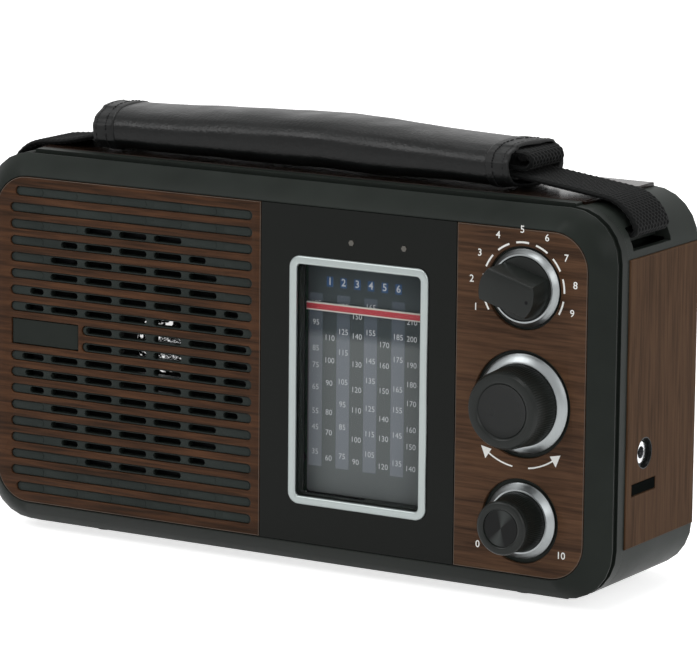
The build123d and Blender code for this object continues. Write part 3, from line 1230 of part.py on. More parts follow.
NODES = {
    "front_cabinet": front_cabinet,
    "rear_cabinet": rear_cabinet,
    "grille_trim": grille_trim,
    "control_trim": control_trim,
    "badge_plate": badge_plate,
    "dial_panel": dial_panel,
    "dial_frame": dial_frame,
    "dial_lens": dial_lens,
    "dial_scale": dial_scale,
    "indicator_lamps": indicator_lamps,
    "dial_pointer": dial_pointer,
    "guide_rod": guide_rod,
    "upper_pulley": lambda: pulley(PULLEY_TOP),
    "lower_pulley": lambda: pulley(PULLEY_BOTTOM),
    "drive_drum": drive_drum,
    "dial_cord": dial_cord,
    "tuning_capacitor": tuning_capacitor,
    "function_knob": function_knob,
    "function_ring": function_ring,
    "function_shaft": lambda: control_shaft(FUNCTION_FACE, FUNCTION_Z, SWITCH_DEPTH - 1.2),
    "band_switch": band_switch,
    "tuning_knob": tuning_knob,
    "tuning_ring": tuning_ring,
    "tuning_spindle": tuning_spindle,
    "volume_knob": volume_knob,
    "volume_ring": volume_ring,
    "volume_shaft": lambda: control_shaft(VOLUME_FACE, VOLUME_Z, SWITCH_DEPTH - 1.2),
    "volume_control": volume_control,
    "side_panel_right": side_panel_right,
    "side_panel_left": side_panel_left,
    "top_panel": top_panel,
    "feet": feet,
    "handle_strap": handle_strap,
    "handle_grip": handle_grip,
    "speaker_frame": speaker_frame,
    "speaker_magnet": speaker_magnet,
    "speaker_cone": speaker_cone,
    "dust_cap": dust_cap,
    "main_board": main_board,
    "ferrite_rod": ferrite_rod,
    "transformer": transformer,
    "mains_inlet": mains_inlet,
    "headphone_jack": headphone_jack,
    "media_board": media_board,
    "usb_socket": usb_socket,
    "card_socket": card_socket,
    "back_button": lambda: media_button(0),
    "play_button": lambda: media_button(1),
    "forward_button": lambda: media_button(2),
    "mode_button": lambda: media_button(3),
    "case_screws": case_screws,
    "inner_screws": inner_screws,
    "battery_cells": battery_cells,
    "battery_contacts": battery_contacts,
    "battery_door": battery_door,
    "aerial_base": aerial_base,
    "aerial_tube": lambda: aerial_tube(0),
    "aerial_middle": lambda: aerial_tube(1),
    "aerial_inner": lambda: aerial_tube(2),
    "aerial_tip": lambda: aerial_tube(3),
}



def main():
    """Builds every node, moves them all to the row's origin and writes one file for each."""
    os.makedirs("parts", exist_ok=True)
    made = {}
    for name, build in NODES.items():
        pieces = build()
        pieces = pieces if isinstance(pieces, list) else [pieces]
        made[name] = [solid for piece in pieces for solid in piece.solids()]
    whole = Compound([s for solids in made.values() for s in solids]).bounding_box()
    middle = whole.center()
    place = Pos(-middle.X, -middle.Y, -whole.min.Z)
    for name, solids in made.items():
        placed = [place * s for s in solids]
        shape = placed[0] if len(placed) == 1 else Compound(placed)
        shape.label = name
        export_step(shape, f"parts/{name}.step")


main()
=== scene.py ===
"""Looks of the tabletop radio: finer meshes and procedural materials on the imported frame.

Shapes are drawn in the case frame, in millimetres: X to the right, Y back from the trim's front face and
Z up from half the trim's height. `settle` moves a finished mesh to the row frame, in metres.
"""

import bmesh
import bpy
from math import atan2, ceil, cos, exp, pi, radians, sin, sqrt
from mathutils import Matrix, Vector, noise
from mathutils.bvhtree import BVHTree


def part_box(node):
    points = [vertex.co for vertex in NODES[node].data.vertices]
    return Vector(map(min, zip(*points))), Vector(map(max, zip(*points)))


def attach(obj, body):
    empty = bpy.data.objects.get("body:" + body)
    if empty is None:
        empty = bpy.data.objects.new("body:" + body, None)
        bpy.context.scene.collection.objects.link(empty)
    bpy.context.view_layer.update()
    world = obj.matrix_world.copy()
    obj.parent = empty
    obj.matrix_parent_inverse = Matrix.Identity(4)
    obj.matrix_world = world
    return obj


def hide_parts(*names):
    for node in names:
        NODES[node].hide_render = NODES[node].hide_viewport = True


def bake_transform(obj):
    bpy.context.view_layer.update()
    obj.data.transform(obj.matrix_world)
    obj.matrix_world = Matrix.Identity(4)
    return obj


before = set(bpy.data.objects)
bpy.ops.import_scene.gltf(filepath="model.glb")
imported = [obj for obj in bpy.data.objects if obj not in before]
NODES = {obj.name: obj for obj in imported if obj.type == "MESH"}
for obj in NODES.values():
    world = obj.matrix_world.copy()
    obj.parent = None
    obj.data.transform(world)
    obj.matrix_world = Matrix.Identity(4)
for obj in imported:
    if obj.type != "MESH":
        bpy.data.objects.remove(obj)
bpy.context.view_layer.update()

# ---------------------------------------------------------------- places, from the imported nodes

cabinet_low, cabinet_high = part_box("front_cabinet")
ORIGIN = Vector((
    (cabinet_low.x + cabinet_high.x) / 2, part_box("grille_trim")[0].y, (cabinet_low.z + cabinet_high.z) / 2,
))
TO_ROW = Matrix.Translation(ORIGIN) @ Matrix.Scale(0.001, 4)


def span(node):
    """A node's lowest and highest corners in the case frame, in millimetres."""
    low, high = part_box(node)
    return (low - ORIGIN) * 1000, (high - ORIGIN) * 1000


def middle(node):
    low, high = span(node)
    return (low + high) / 2


def radius(node):
    low, high = span(node)
    return (high.x - low.x) / 2


GRILLE_LOW, GRILLE_HIGH = span("grille_trim")
CONTROL_LOW, CONTROL_HIGH = span("control_trim")
TRIM_THICKNESS = GRILLE_HIGH.y
TRIM_CORNER = 10.8
SPEAKER_X = middle("speaker_cone").x
ROW_PITCH = 5.0
ROW_COUNT = 19
ROW_HEIGHT = 2.9
ROW_LEFT = -95.1
ROW_RIGHT = -9.9
COLUMN_PITCH = 12.23
SLOT_LENGTH = 9.7
SLOT_HEIGHT = 1.9
GRILLE_RADIUS = 40.1
SLOT_SHORTEST = 2.6
TINY = 1e-4  # mm; points nearer to each other than this are one

# ---------------------------------------------------------------- mesh helpers


def placed(name, data):
    """An object in the scene that holds a mesh, curve, light or camera."""
    holder = bpy.data.objects.new(name, data)
    bpy.context.scene.collection.objects.link(holder)
    return holder


def evaluated(holder):
    """The mesh of an object with its curve settings and modifiers applied."""
    return bpy.data.meshes.new_from_object(holder.evaluated_get(bpy.context.evaluated_depsgraph_get()))


def outward(mesh, weld=0.0):
    """Turns all faces of a mesh outwards, after joining points nearer than weld."""
    bm = bmesh.new()
    bm.from_mesh(mesh)
    if weld:
        bmesh.ops.remove_doubles(bm, verts=bm.verts, dist=weld)
    bmesh.ops.recalc_face_normals(bm, faces=bm.faces)
    bm.to_mesh(mesh)
    bm.free()
    return mesh


def settle(mesh, body, material, replaces=(), smooth=35):
    """Makes a piece of a mesh drawn in the case frame and lets it ride on a body, if one is named."""
    mesh.transform(TO_ROW)
    mesh.shade_smooth()
    mesh.set_sharp_from_angle(angle=radians(smooth))
    piece = placed(mesh.name, mesh)
    mesh.materials.clear()
    mesh.materials.append(material)
    if body:
        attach(piece, body)
    if replaces:
        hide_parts(*replaces)
    return piece


def raw(name, points, faces):
    mesh = bpy.data.meshes.new(name)
    mesh.from_pydata(points, [], faces)
    mesh.validate()
    return mesh


def joined(name, meshes):
    """One mesh of several."""
    bm = bmesh.new()
    for mesh in meshes:
        bm.from_mesh(mesh)
        bpy.data.meshes.remove(mesh)
    out = bpy.data.meshes.new(name)
    bm.to_mesh(out)
    bm.free()
    return out


def circle(x, z, r, count):
    return [(x + r * cos(2 * pi * i / count), z + r * sin(2 * pi * i / count)) for i in range(count)]


def rounded(left, right, low, high, corners, count=12):
    """Outline with a radius for each corner: lower left, lower right, upper right, upper left."""
    if not hasattr(corners, "__len__"):
        corners = [corners] * 4
    spots = [
        (left, low, 1, 1, pi), (right, low, -1, 1, 1.5 * pi),
        (right, high, -1, -1, 0), (left, high, 1, -1, pi / 2),
    ]
    points = []
    for (x, z, sx, sz, start), r in zip(spots, corners):
        if r <= 0:
            points.append((x, z))
            continue
        for i in range(count + 1):
            a = start + pi / 2 * i / count
            points.append((x + sx * r + r * cos(a), z + sz * r + r * sin(a)))
    return points


def stadium(left, right, z, height, count=10):
    return rounded(left, right, z - height / 2, z + height / 2, height / 2 - TINY, count)


def cut(name, loops, near, far, bevel=0.15, steps=2):
    """Plate of outlines and holes drawn in (X, Z), between two depths, with rounded edges."""
    curve = bpy.data.curves.new(name, "CURVE")
    curve.dimensions, curve.fill_mode = "2D", "BOTH"
    curve.extrude = (far - near) / 2 - bevel
    curve.bevel_depth, curve.bevel_resolution, curve.offset = bevel, steps, -bevel
    for loop in loops:
        spline = curve.splines.new("POLY")
        spline.points.add(len(loop) - 1)
        spline.points.foreach_set("co", [value for x, z in loop for value in (x, z, 0, 1)])
        spline.use_cyclic_u = True
    holder = placed(name, curve)
    bpy.context.view_layer.update()
    mesh = evaluated(holder)
    bpy.data.objects.remove(holder)
    bpy.data.curves.remove(curve)
    mesh.name = name
    mesh.transform(Matrix.Translation((0, (near + far) / 2, 0)) @ Matrix.Rotation(pi / 2, 4, "X"))
    return outward(mesh, TINY)


def turned(name, profile, x, z, count=128, wave=None):
    """Form turned about a line along Y, from (radius, depth) points. wave adds to the radius at an angle."""
    points, faces, rings = [], [], []
    for step, (r, y) in enumerate(profile):
        if r < 1e-6:
            rings.append([len(points)])
            points.append((x, y, z))
            continue
        ring = []
        for i in range(count):
            a = 2 * pi * i / count
            grown = r + (wave(step, i) if wave else 0)
            ring.append(len(points))
            points.append((x + grown * cos(a), y, z + grown * sin(a)))
        rings.append(ring)
    for one, two in zip(rings, rings[1:]):
        for i in range(count):
            j = (i + 1) % count
            if len(one) == 1:
                faces.append((one[0], two[i], two[j]))
            elif len(two) == 1:
                faces.append((one[i], two[0], one[j]))
            else:
                faces.append((one[i], two[i], two[j], one[j]))
    return outward(raw(name, points, faces))


# ---------------------------------------------------------------- material helpers


def rgb(r, g, b):
    """A display colour, 0 to 255, as linear RGBA."""
    return tuple(((c / 255 + 0.055) / 1.055) ** 2.4 if c > 10 else c / 255 / 12.92 for c in (r, g, b)) + (1,)


class Finish:
    """A node material with a Principled shader, and short ways to add to it."""

    def __init__(self, name, colour, roughness=0.5, metallic=0.0, **sockets):
        self.material = bpy.data.materials.new(name)
        self.material.use_nodes = True
        self.tree = self.material.node_tree
        self.shader = self.tree.nodes["Principled BSDF"]
        self.put("Base Color", colour)
        self.put("Roughness", roughness)
        self.put("Metallic", metallic)
        for socket, value in sockets.items():
            self.put(socket.replace("_", " "), value)
        self.place = self.node("ShaderNodeTexCoord").outputs["Object"]

    def feed(self, socket, value):
        """Links another node's output to a socket, or sets the socket's own value."""
        if isinstance(value, bpy.types.NodeSocket):
            self.tree.links.new(value, socket)
        else:
            socket.default_value = value

    def put(self, name, value):
        self.feed(self.shader.inputs[name], value)

    def node(self, kind, inputs=(), **settings):
        node = self.tree.nodes.new(kind)
        for key, value in settings.items():
            setattr(node, key, value)
        for key, value in dict(inputs).items():
            self.feed(node.inputs[key], value)
        return node

    def stretched(self, scale):
        """Object coordinates multiplied by a scale for each axis."""
        inputs = {0: self.place, 1: scale}
        return self.node("ShaderNodeVectorMath", inputs, operation="MULTIPLY").outputs[0]

    def noise(self, scale, detail=4.0, rough=0.55, where=None, distortion=0.0):
        inputs = {
            "Vector": where or self.place, "Scale": scale, "Detail": detail, "Roughness": rough,
            "Distortion": distortion,
        }
        return self.node("ShaderNodeTexNoise", inputs).outputs["Fac"]

    def ramp(self, factor, stops):
        node = self.node("ShaderNodeValToRGB", {"Fac": factor})
        while len(node.color_ramp.elements) < len(stops):
            node.color_ramp.elements.new(0.5)
        for element, (position, colour) in zip(node.color_ramp.elements, stops):
            element.position, element.color = position, colour
        return node.outputs["Color"]

    def span(self, value, low, high, to_low, to_high):
        inputs = {"Value": value, "From Min": low, "From Max": high, "To Min": to_low, "To Max": to_high}
        return self.node("ShaderNodeMapRange", inputs).outputs["Result"]

    def mix(self, factor, a, b):
        return self.node("ShaderNodeMix", {0: factor, 6: a, 7: b}, data_type="RGBA").outputs[2]

    def math(self, operation, a, b=0.0):
        return self.node("ShaderNodeMath", {0: a, 1: b}, operation=operation).outputs[0]

    def bump(self, height, strength, distance, edge=0.0):
        inputs = {"Height": height, "Strength": strength, "Distance": distance}
        if edge:
            inputs["Normal"] = self.node("ShaderNodeBevel", {"Radius": edge}, samples=4).outputs[0]
        self.put("Normal", self.node("ShaderNodeBump", inputs).outputs["Normal"])


def toned(colour, factor):
    """A colour made darker or lighter."""
    return tuple(c * factor for c in colour[:3]) + (1,)


def moulded(name, colour, roughness=0.42, grain=1.0, edge=0.0, gloss=0.07):
    """Moulded plastic with a fine spark-eroded texture and slight shifts of tone."""
    finish = Finish(name, colour, roughness, Specular_IOR_Level=gloss)
    soft = finish.noise(60, 3)
    finish.put("Base Color", finish.ramp(soft, [(0.3, toned(colour, 0.85)), (0.7, toned(colour, 1.15))]))
    finish.put("Roughness", finish.span(soft, 0.3, 0.7, roughness - 0.04, roughness + 0.06))
    finish.bump(finish.noise(3200, 2), 0.25 * grain, 0.00006, edge)
    return finish.material


def wood(name, along, dark, middle_tone, light, roughness=0.38, gloss=0.07, streak=0.6):
    """Printed wood film: fine long grain along one axis. streak is how strong its dark streaks are."""
    finish = Finish(name, middle_tone, roughness, Specular_IOR_Level=gloss)

    def drawn(squeeze):
        return finish.stretched(tuple(squeeze if axis == along else 1.0 for axis in "XYZ"))

    fibres = finish.noise(950, 5, 0.62, drawn(0.05), 0.3)
    bands = finish.noise(210, 4, 0.6, drawn(0.09), 0.5)
    lines = finish.noise(620, 3, 0.5, drawn(0.035), 0.8)
    tone = finish.math("ADD", finish.math("MULTIPLY", fibres, 0.65), finish.math("MULTIPLY", bands, 0.35))
    board = finish.ramp(tone, [(0.36, dark), (0.49, middle_tone), (0.62, light)])
    streaked = finish.mix(finish.span(lines, 0.57, 0.66, 0.0, streak), board, dark)
    finish.put("Base Color", streaked)
    finish.bump(fibres, 0.1, 0.0001)
    return finish.material


def metal(name, colour, roughness, brushed=None, grain=900):
    finish = Finish(name, colour, roughness, 1.0)
    where = finish.stretched(brushed) if brushed else finish.place
    lines = finish.noise(grain, 3, 0.6, where)
    finish.put("Roughness", finish.span(lines, 0.3, 0.7, max(roughness - 0.04, 0.03), roughness + 0.05))
    finish.bump(lines, 0.02, 0.00002)
    return finish.material


CHARCOAL = moulded("charcoal", rgb(32, 36, 33), 0.34, edge=0.0002)
CHARCOAL_DARK = moulded("charcoal_back", rgb(36, 40, 37), 0.4, edge=0.0002)
STRIP = moulded("charcoal_strip", rgb(42, 47, 45), 0.42)
WOOD_FRONT = wood("wood_front", "X", rgb(42, 28, 18), rgb(64, 42, 28), rgb(80, 53, 35), streak=0.55)
WOOD_CONTROL = wood("wood_control", "X", rgb(50, 35, 25), rgb(76, 54, 39), rgb(90, 65, 47), streak=0.45)
WOOD_SIDE = wood(
    "wood_side", "Z", rgb(58, 42, 30), rgb(76, 56, 41), rgb(87, 65, 48),
    roughness=0.5, gloss=0.02, streak=0.35,
)
WOOD_TOP = wood(
    "wood_top", "X", rgb(14, 9, 7), rgb(26, 17, 12), rgb(38, 25, 18), roughness=0.16, gloss=0.16
)
gloss = Finish("gloss_panel", rgb(13, 16, 13), 0.07, Specular_IOR_Level=0.1)
gloss.bump(gloss.noise(40, 2), 0.02, 0.0002)
SILVER = metal("satin_silver", rgb(151, 158, 157), 0.4)
BRIGHT = metal("bright_plating", rgb(138, 142, 143), 0.32)
SPUN = metal("spun_aluminium", rgb(235, 236, 238), 0.2)
# Dust cap foil: bumped metal, plus emission in scattered noise spots that paints bright glints on it.
foil_with_painted_glints = Finish("crinkled_foil_painted_glints", rgb(235, 236, 238), 0.16, 1.0)
foil_with_painted_glints.bump(foil_with_painted_glints.noise(420, 2), 1.0, 0.0012)
foil_with_painted_glints.put("Emission Color", (1, 1, 1, 1))
foil_with_painted_glints.put("Emission Strength", foil_with_painted_glints.span(foil_with_painted_glints.noise(480, 1), 0.56, 0.64, 0.0, 0.8))
STEEL = metal("steel", rgb(150, 150, 152), 0.34)
KNOB = moulded("knob_black", rgb(23, 26, 24), 0.32, grain=0.7, gloss=0.2)
KNOB_DISH = moulded("knob_dish", rgb(17, 19, 18), 0.24, grain=0.3, gloss=0.2)
RUBBER = moulded("foot_rubber", rgb(24, 24, 25), 0.7, grain=2.0)
# Pale colour for thin lines along the trims' edges: a painted highlight.
EDGE_HIGHLIGHT_PAINTED = moulded("painted_edge_highlight", rgb(84, 72, 62), 0.3, grain=0.2, gloss=0.3)
INK = Finish("white_ink", rgb(236, 236, 232), 0.5).material
PAPER = moulded("speaker_paper", rgb(30, 30, 30), 0.8, grain=3.0)
BOARD = moulded("laminate", rgb(30, 80, 48), 0.4)
DARK = moulded("dark_component", rgb(34, 34, 36), 0.4)
PALE = moulded("acetal", rgb(215, 212, 202), 0.5)
CELL = moulded("cell_jacket", rgb(150, 120, 60), 0.3, grain=0.2)
LAMP = Finish("lamp_lens", rgb(72, 68, 60), 0.15).material


def weave_finish(name, colour, roughness=0.75):
    """Black yarn: fibres run along each thread, with a soft sheen."""
    finish = Finish(name, colour, roughness, Specular_IOR_Level=0.08, Sheen_Weight=0.05, Sheen_Roughness=0.4)
    fibres = finish.noise(2600, 3, 0.6, finish.stretched((0.35, 1.0, 1.0)))
    finish.put("Base Color", finish.ramp(fibres, [(0.3, toned(colour, 0.55)), (0.75, toned(colour, 1.5))]))
    finish.bump(fibres, 0.6, 0.00025)
    return finish.material


def leather_finish(name, colour, roughness):
    """Coated leatherette: small pebbled grain, creases and a worn sheen."""
    finish = Finish(name, colour, roughness, Specular_IOR_Level=0.2)
    inputs = {"Vector": finish.place, "Scale": 1300.0}
    pebbles = finish.node("ShaderNodeTexVoronoi", inputs, feature="SMOOTH_F1").outputs["Distance"]
    folds = finish.noise(90, 5, 0.6)
    finish.put("Roughness", finish.span(folds, 0.3, 0.7, roughness - 0.05, roughness + 0.1))
    finish.put("Base Color", finish.ramp(folds, [(0.3, toned(colour, 0.75)), (0.7, toned(colour, 1.3))]))
    height = finish.math("ADD", finish.math("MULTIPLY", pebbles, 0.6), finish.math("MULTIPLY", folds, 0.8))
    finish.bump(height, 0.35, 0.00035)
    return finish.material


WEBBING = weave_finish("webbing", rgb(12, 13, 13))
LEATHER = leather_finish("leatherette", rgb(12, 13, 13), 0.32)
CUFF = leather_finish("leatherette_binding", rgb(13, 14, 14), 0.42)
THREAD = weave_finish("thread", rgb(22, 22, 23), 0.6)

LENS = Finish("clear_acrylic", rgb(60, 64, 66), 0.03, Alpha=0.05, Specular_IOR_Level=0.3).material

NODE_MATERIALS = {
    "front_cabinet": CHARCOAL, "rear_cabinet": CHARCOAL_DARK, "battery_door": CHARCOAL_DARK,
    "side_panel_right": WOOD_SIDE, "side_panel_left": WOOD_SIDE, "top_panel": WOOD_TOP,
    "dial_panel": gloss.material, "dial_lens": LENS, "badge_plate": CHARCOAL, "dial_scale": DARK,
    "indicator_lamps": LAMP, "guide_rod": STEEL, "function_shaft": STEEL, "tuning_spindle": STEEL,
    "volume_shaft": STEEL, "battery_contacts": STEEL, "upper_pulley": PALE, "lower_pulley": PALE,
    "drive_drum": PALE, "dial_cord": PALE, "tuning_capacitor": DARK, "ferrite_rod": DARK,
    "band_switch": STEEL, "volume_control": STEEL, "speaker_frame": DARK, "speaker_magnet": DARK,
    "speaker_cone": PAPER, "main_board": BOARD, "media_board": BOARD, "transformer": DARK,
    "mains_inlet": KNOB, "headphone_jack": SPUN, "usb_socket": BRIGHT, "card_socket": BRIGHT,
    "back_button": KNOB, "play_button": KNOB, "forward_button": KNOB, "mode_button": KNOB,
    "case_screws": STEEL, "inner_screws": STEEL, "battery_cells": CELL, "aerial_base": BRIGHT,
    "aerial_tube": BRIGHT, "aerial_middle": BRIGHT, "aerial_inner": BRIGHT, "aerial_tip": BRIGHT,
}

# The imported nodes' facets are shaded smooth where they meet at less than this angle.
SMOOTH_BELOW = 33
rounding = bpy.data.node_groups.new("smooth_by_angle", "GeometryNodeTree")
for way in ("INPUT", "OUTPUT"):
    rounding.interface.new_socket("Geometry", in_out=way, socket_type="NodeSocketGeometry")
start, end, faces_on, edges_on, turn, below = (
    rounding.nodes.new(kind) for kind in (
        "NodeGroupInput", "NodeGroupOutput", "GeometryNodeSetShadeSmooth", "GeometryNodeSetShadeSmooth",
        "GeometryNodeInputMeshEdgeAngle", "ShaderNodeMath",
    )
)
edges_on.domain, below.operation = "EDGE", "LESS_THAN"
below.inputs[1].default_value = radians(SMOOTH_BELOW)
for source, target in (
    (start.outputs[0], faces_on.inputs["Geometry"]), (faces_on.outputs[0], edges_on.inputs["Geometry"]),
    (turn.outputs[0], below.inputs[0]), (below.outputs[0], edges_on.inputs["Shade Smooth"]),
    (edges_on.outputs[0], end.inputs[0]),
):
    rounding.links.new(source, target)
for name, finish in NODE_MATERIALS.items():
    node = NODES[name]
    node.data.materials.clear()
    node.data.materials.append(finish)
    weld = node.modifiers.new("weld", "WELD")
    weld.merge_threshold = 1e-6
    node.modifiers.new("rounding", "NODES").node_group = rounding

# ---------------------------------------------------------------- grille


def row_height(row):
    return ((ROW_COUNT - 1) / 2 - row) * ROW_PITCH


badge_low, badge_high = span("badge_plate")


def row_ends(row):
    """Left and right ends of a grille row. The outer rows and those beside the badge are shorter."""
    z, left = row_height(row), ROW_LEFT
    if row in (0, ROW_COUNT - 1):
        left += 1.9
    if badge_low.z - ROW_HEIGHT / 2 < z < badge_high.z + ROW_HEIGHT / 2:
        left = badge_high.x + ROW_HEIGHT / 2
    return left, ROW_RIGHT


GRILLE_CORNERS = [TRIM_CORNER, 0, 0, TRIM_CORNER]
CONTROL_CORNERS = [0, TRIM_CORNER, TRIM_CORNER, 0]
outline = rounded(GRILLE_LOW.x, GRILLE_HIGH.x, GRILLE_LOW.z, GRILLE_HIGH.z, GRILLE_CORNERS)
openings = [stadium(*row_ends(row), row_height(row), ROW_HEIGHT) for row in range(ROW_COUNT)]
notch = rounded(badge_low.x - 0.2, badge_high.x + 0.2, badge_low.z - 0.2, badge_high.z + 0.2, 0.3, 3)
settle(
    cut("wood_grille", [outline, notch] + openings, 0, TRIM_THICKNESS, 0.22),
    "case", WOOD_FRONT, ["grille_trim"],
)

strips, pads = [], []
for row in range(ROW_COUNT):
    (left, right), z = row_ends(row), row_height(row)
    loops = [stadium(left + 0.12, right - 0.12, z, ROW_HEIGHT - 0.24)]
    reach = GRILLE_RADIUS**2 - (abs(z) + SLOT_HEIGHT / 2) ** 2
    for column in range(7):
        centre = SPEAKER_X + (column - 3) * COLUMN_PITCH
        low = max(centre - SLOT_LENGTH / 2, left + 1.2)
        high = min(centre + SLOT_LENGTH / 2, right - 0.6)
        if reach > 0:
            open_low = max(low, SPEAKER_X - sqrt(reach))
            open_high = min(high, SPEAKER_X + sqrt(reach))
            if open_high - open_low > SLOT_SHORTEST:
                loops.append(stadium(open_low, open_high, z, SLOT_HEIGHT, 8))
                continue
        if high - low > SLOT_SHORTEST:
            pads.append(cut("pad", [stadium(low, high, z, SLOT_HEIGHT + 0.3, 8)], 0.42, 0.8, 0.1, 1))
    strips.append(cut("strip", loops, 0.55, TRIM_THICKNESS + 0.02, 0.12, 1))
settle(joined("grille_strips", strips + pads), "case", STRIP)

# ---------------------------------------------------------------- control trim, rings and knobs

KNOBS = {name: middle(name + "_ring") for name in ("function", "tuning", "volume")}
RECESS = {"function": 11.9, "tuning": 15.45, "volume": 12.2}
FUNCTION_RING_BORE = 9.1
outline = rounded(CONTROL_LOW.x, CONTROL_HIGH.x, CONTROL_LOW.z, CONTROL_HIGH.z, CONTROL_CORNERS)
recesses = [circle(KNOBS[name].x, KNOBS[name].z, RECESS[name], 128) for name in KNOBS]
settle(
    cut("wood_controls", [outline] + recesses, 0, TRIM_THICKNESS, 0.28, 3),
    "case", WOOD_CONTROL, ["control_trim"],
)

for name, place in KNOBS.items():
    low, high = span(name + "_ring")
    outer, inner = radius(name + "_ring"), radius(name + "_knob") - 0.05
    if name == "function":
        inner = FUNCTION_RING_BORE
    profile = [
        (inner, high.y), (inner, low.y + 0.25), (inner + 0.25, low.y), (inner + 0.7, low.y + 0.05),
        (outer - 0.5, high.y - 0.75), (outer - 0.1, high.y - 0.45), (outer, high.y),
    ]
    ring = turned(name + "_bright_ring", profile + profile[:1], place.x, place.z, 160)
    settle(ring, name + "_dial", BRIGHT, [name + "_ring"])


def ribs(depth, first, last):
    """Radius change for ribs along the profile's points first to last: two points of each four stand out."""
    return lambda step, i: (depth if first <= step <= last and i % 4 in (0, 1) else 0.0)


face = span("tuning_knob")[0].y
profile = [
    (0, face + 0.75), (7.6, face + 0.75), (7.95, face + 0.35), (8.25, face + 0.05), (8.5, face), (10.1, face),
    (10.45, face + 0.12), (10.95, face + 1.0), (11.05, face + 1.4), (11.62, -1.5), (11.62, 0.9), (11.3, 1.1),
    (0, 1.1),
]
settle(
    turned("tuning_grip", profile, KNOBS["tuning"].x, KNOBS["tuning"].z, 384, ribs(0.14, 8, 10)),
    "tuning_dial", KNOB, ["tuning_knob"],
)
dish = [
    (0, face + 0.72), (5.5, face + 0.7), (7.2, face + 0.6), (7.6, face + 0.5), (7.7, face + 0.7),
    (0, face + 0.8),
]
settle(turned("tuning_dish", dish, KNOBS["tuning"].x, KNOBS["tuning"].z), "tuning_dial", KNOB_DISH)
face = span("volume_knob")[0].y
profile = [
    (0, face + 0.6), (5.4, face + 0.6), (5.55, face + 0.2), (5.8, face + 0.04), (6.1, face), (6.9, face),
    (7.3, face + 0.1), (7.7, face + 0.5), (7.8, face + 0.9), (7.62, face + 1.5), (7.5, face + 3.2),
    (7.6, face + 4.2), (8.5, -1.5), (8.55, 0.9), (8.3, 1.1), (0, 1.1),
]
settle(
    turned("volume_grip", profile, KNOBS["volume"].x, KNOBS["volume"].z, 320, ribs(0.1, 10, 12)),
    "volume_dial", KNOB, ["volume_knob"],
)

# The volume knob's dish is turned metal, with a painted highlight in its colour: two bright lobes across its
# middle, at an angle.
dish_with_painted_highlight = Finish("spun_dish_painted_highlight", rgb(40, 43, 42), 0.34, Specular_IOR_Level=0.12)
spot = dish_with_painted_highlight.node("ShaderNodeSeparateXYZ", {0: dish_with_painted_highlight.place}).outputs
centre = TO_ROW @ KNOBS["volume"]
rise, run = (dish_with_painted_highlight.math("SUBTRACT", spot[axis], getattr(centre, axis.lower())) for axis in "ZX")
# Painted highlight: an angular pattern about the knob's centre brightens two opposite lobes.
painted_highlight_lobes = dish_with_painted_highlight.math("SINE", dish_with_painted_highlight.math("ADD", dish_with_painted_highlight.math("MULTIPLY", dish_with_painted_highlight.math("ARCTAN2", rise, run), 2.0), -1.0))
painted_highlight_share = dish_with_painted_highlight.span(painted_highlight_lobes, -1.0, 1.0, 0.0, 1.0)
dish_with_painted_highlight.put("Base Color", dish_with_painted_highlight.ramp(painted_highlight_share, [(0.7, rgb(13, 14, 14)), (1.0, rgb(56, 59, 58))]))
grooves = [(0.15 * k, face + 0.44 + 0.02 * (k % 2)) for k in range(1, 35)]
dish = turned(
    "volume_dish", [(0, face + 0.44), *grooves, (5.2, face + 0.5)], KNOBS["volume"].x, KNOBS["volume"].z
)
settle(dish, "volume_dial", dish_with_painted_highlight.material, smooth=60)

place, face, BAR_ANGLE = KNOBS["function"], span("function_knob")[0].y, radians(-16)
profile = [(0, -0.9), (8.6, -0.9), (8.95, -0.8), (9.08, -0.5), (9.08, 0.9), (8.8, 1.1), (0, 1.1)]
skirt = turned("skirt", profile, place.x, place.z, 128)


def bar_loop(reach, half, y, count=14):
    """Bar outline with arc ends, turned to the pointing angle."""
    sweep, points = sqrt(max(reach**2 - half**2, 0)), []
    end = atan2(half, sweep)
    for side_angle in (0, pi):
        for i in range(count + 1):
            a = side_angle - end + 2 * end * i / count
            points.append((reach * cos(a), reach * sin(a)))
    c, s = cos(BAR_ANGLE), sin(BAR_ANGLE)
    return [(place.x + u * c - v * s, y, place.z + u * s + v * c) for u, v in points]


def stacked(name, loops):
    """Closed form through rings of equal count, capped at both ends."""
    points, faces, count = [p for loop in loops for p in loop], [], len(loops[0])
    for k in range(len(loops) - 1):
        for i in range(count):
            j = (i + 1) % count
            faces.append((k * count + i, k * count + j, (k + 1) * count + j, (k + 1) * count + i))
    faces += [tuple(range(count)), tuple(range((len(loops) - 1) * count, len(loops) * count))]
    return outward(raw(name, points, faces))


bar = stacked("bar", [
    bar_loop(8.8, 5.5, -0.8), bar_loop(8.8, 4.8, face + 1.0), bar_loop(8.75, 4.6, face + 0.35),
    bar_loop(8.5, 4.3, face + 0.08), bar_loop(8.2, 4.0, face),
])
settle(joined("function_grip", [skirt, bar]), "function_dial", KNOB, ["function_knob"], smooth=25)
dot = (place.x + 6.9 * cos(BAR_ANGLE), place.z + 6.9 * sin(BAR_ANGLE))
pit = turned("function_pit", [(0, face - 0.02), (0.5, face - 0.02), (0.6, face + 0.1)], *dot, 24)
settle(pit, "function_dial", RUBBER)

# ---------------------------------------------------------------- print on the control trim

PRINT_Y = -0.03
NUMBER_HEIGHT, NUMBER_BOLD = 2.1, 0.03
POSITIONS, STEP_ANGLE, FIRST_ANGLE = 9, 28, -20


def around(centre, distance, angle):
    """X and Z of the point at a distance and an angle from a centre."""
    return centre.x + distance * cos(angle), centre.z + distance * sin(angle)


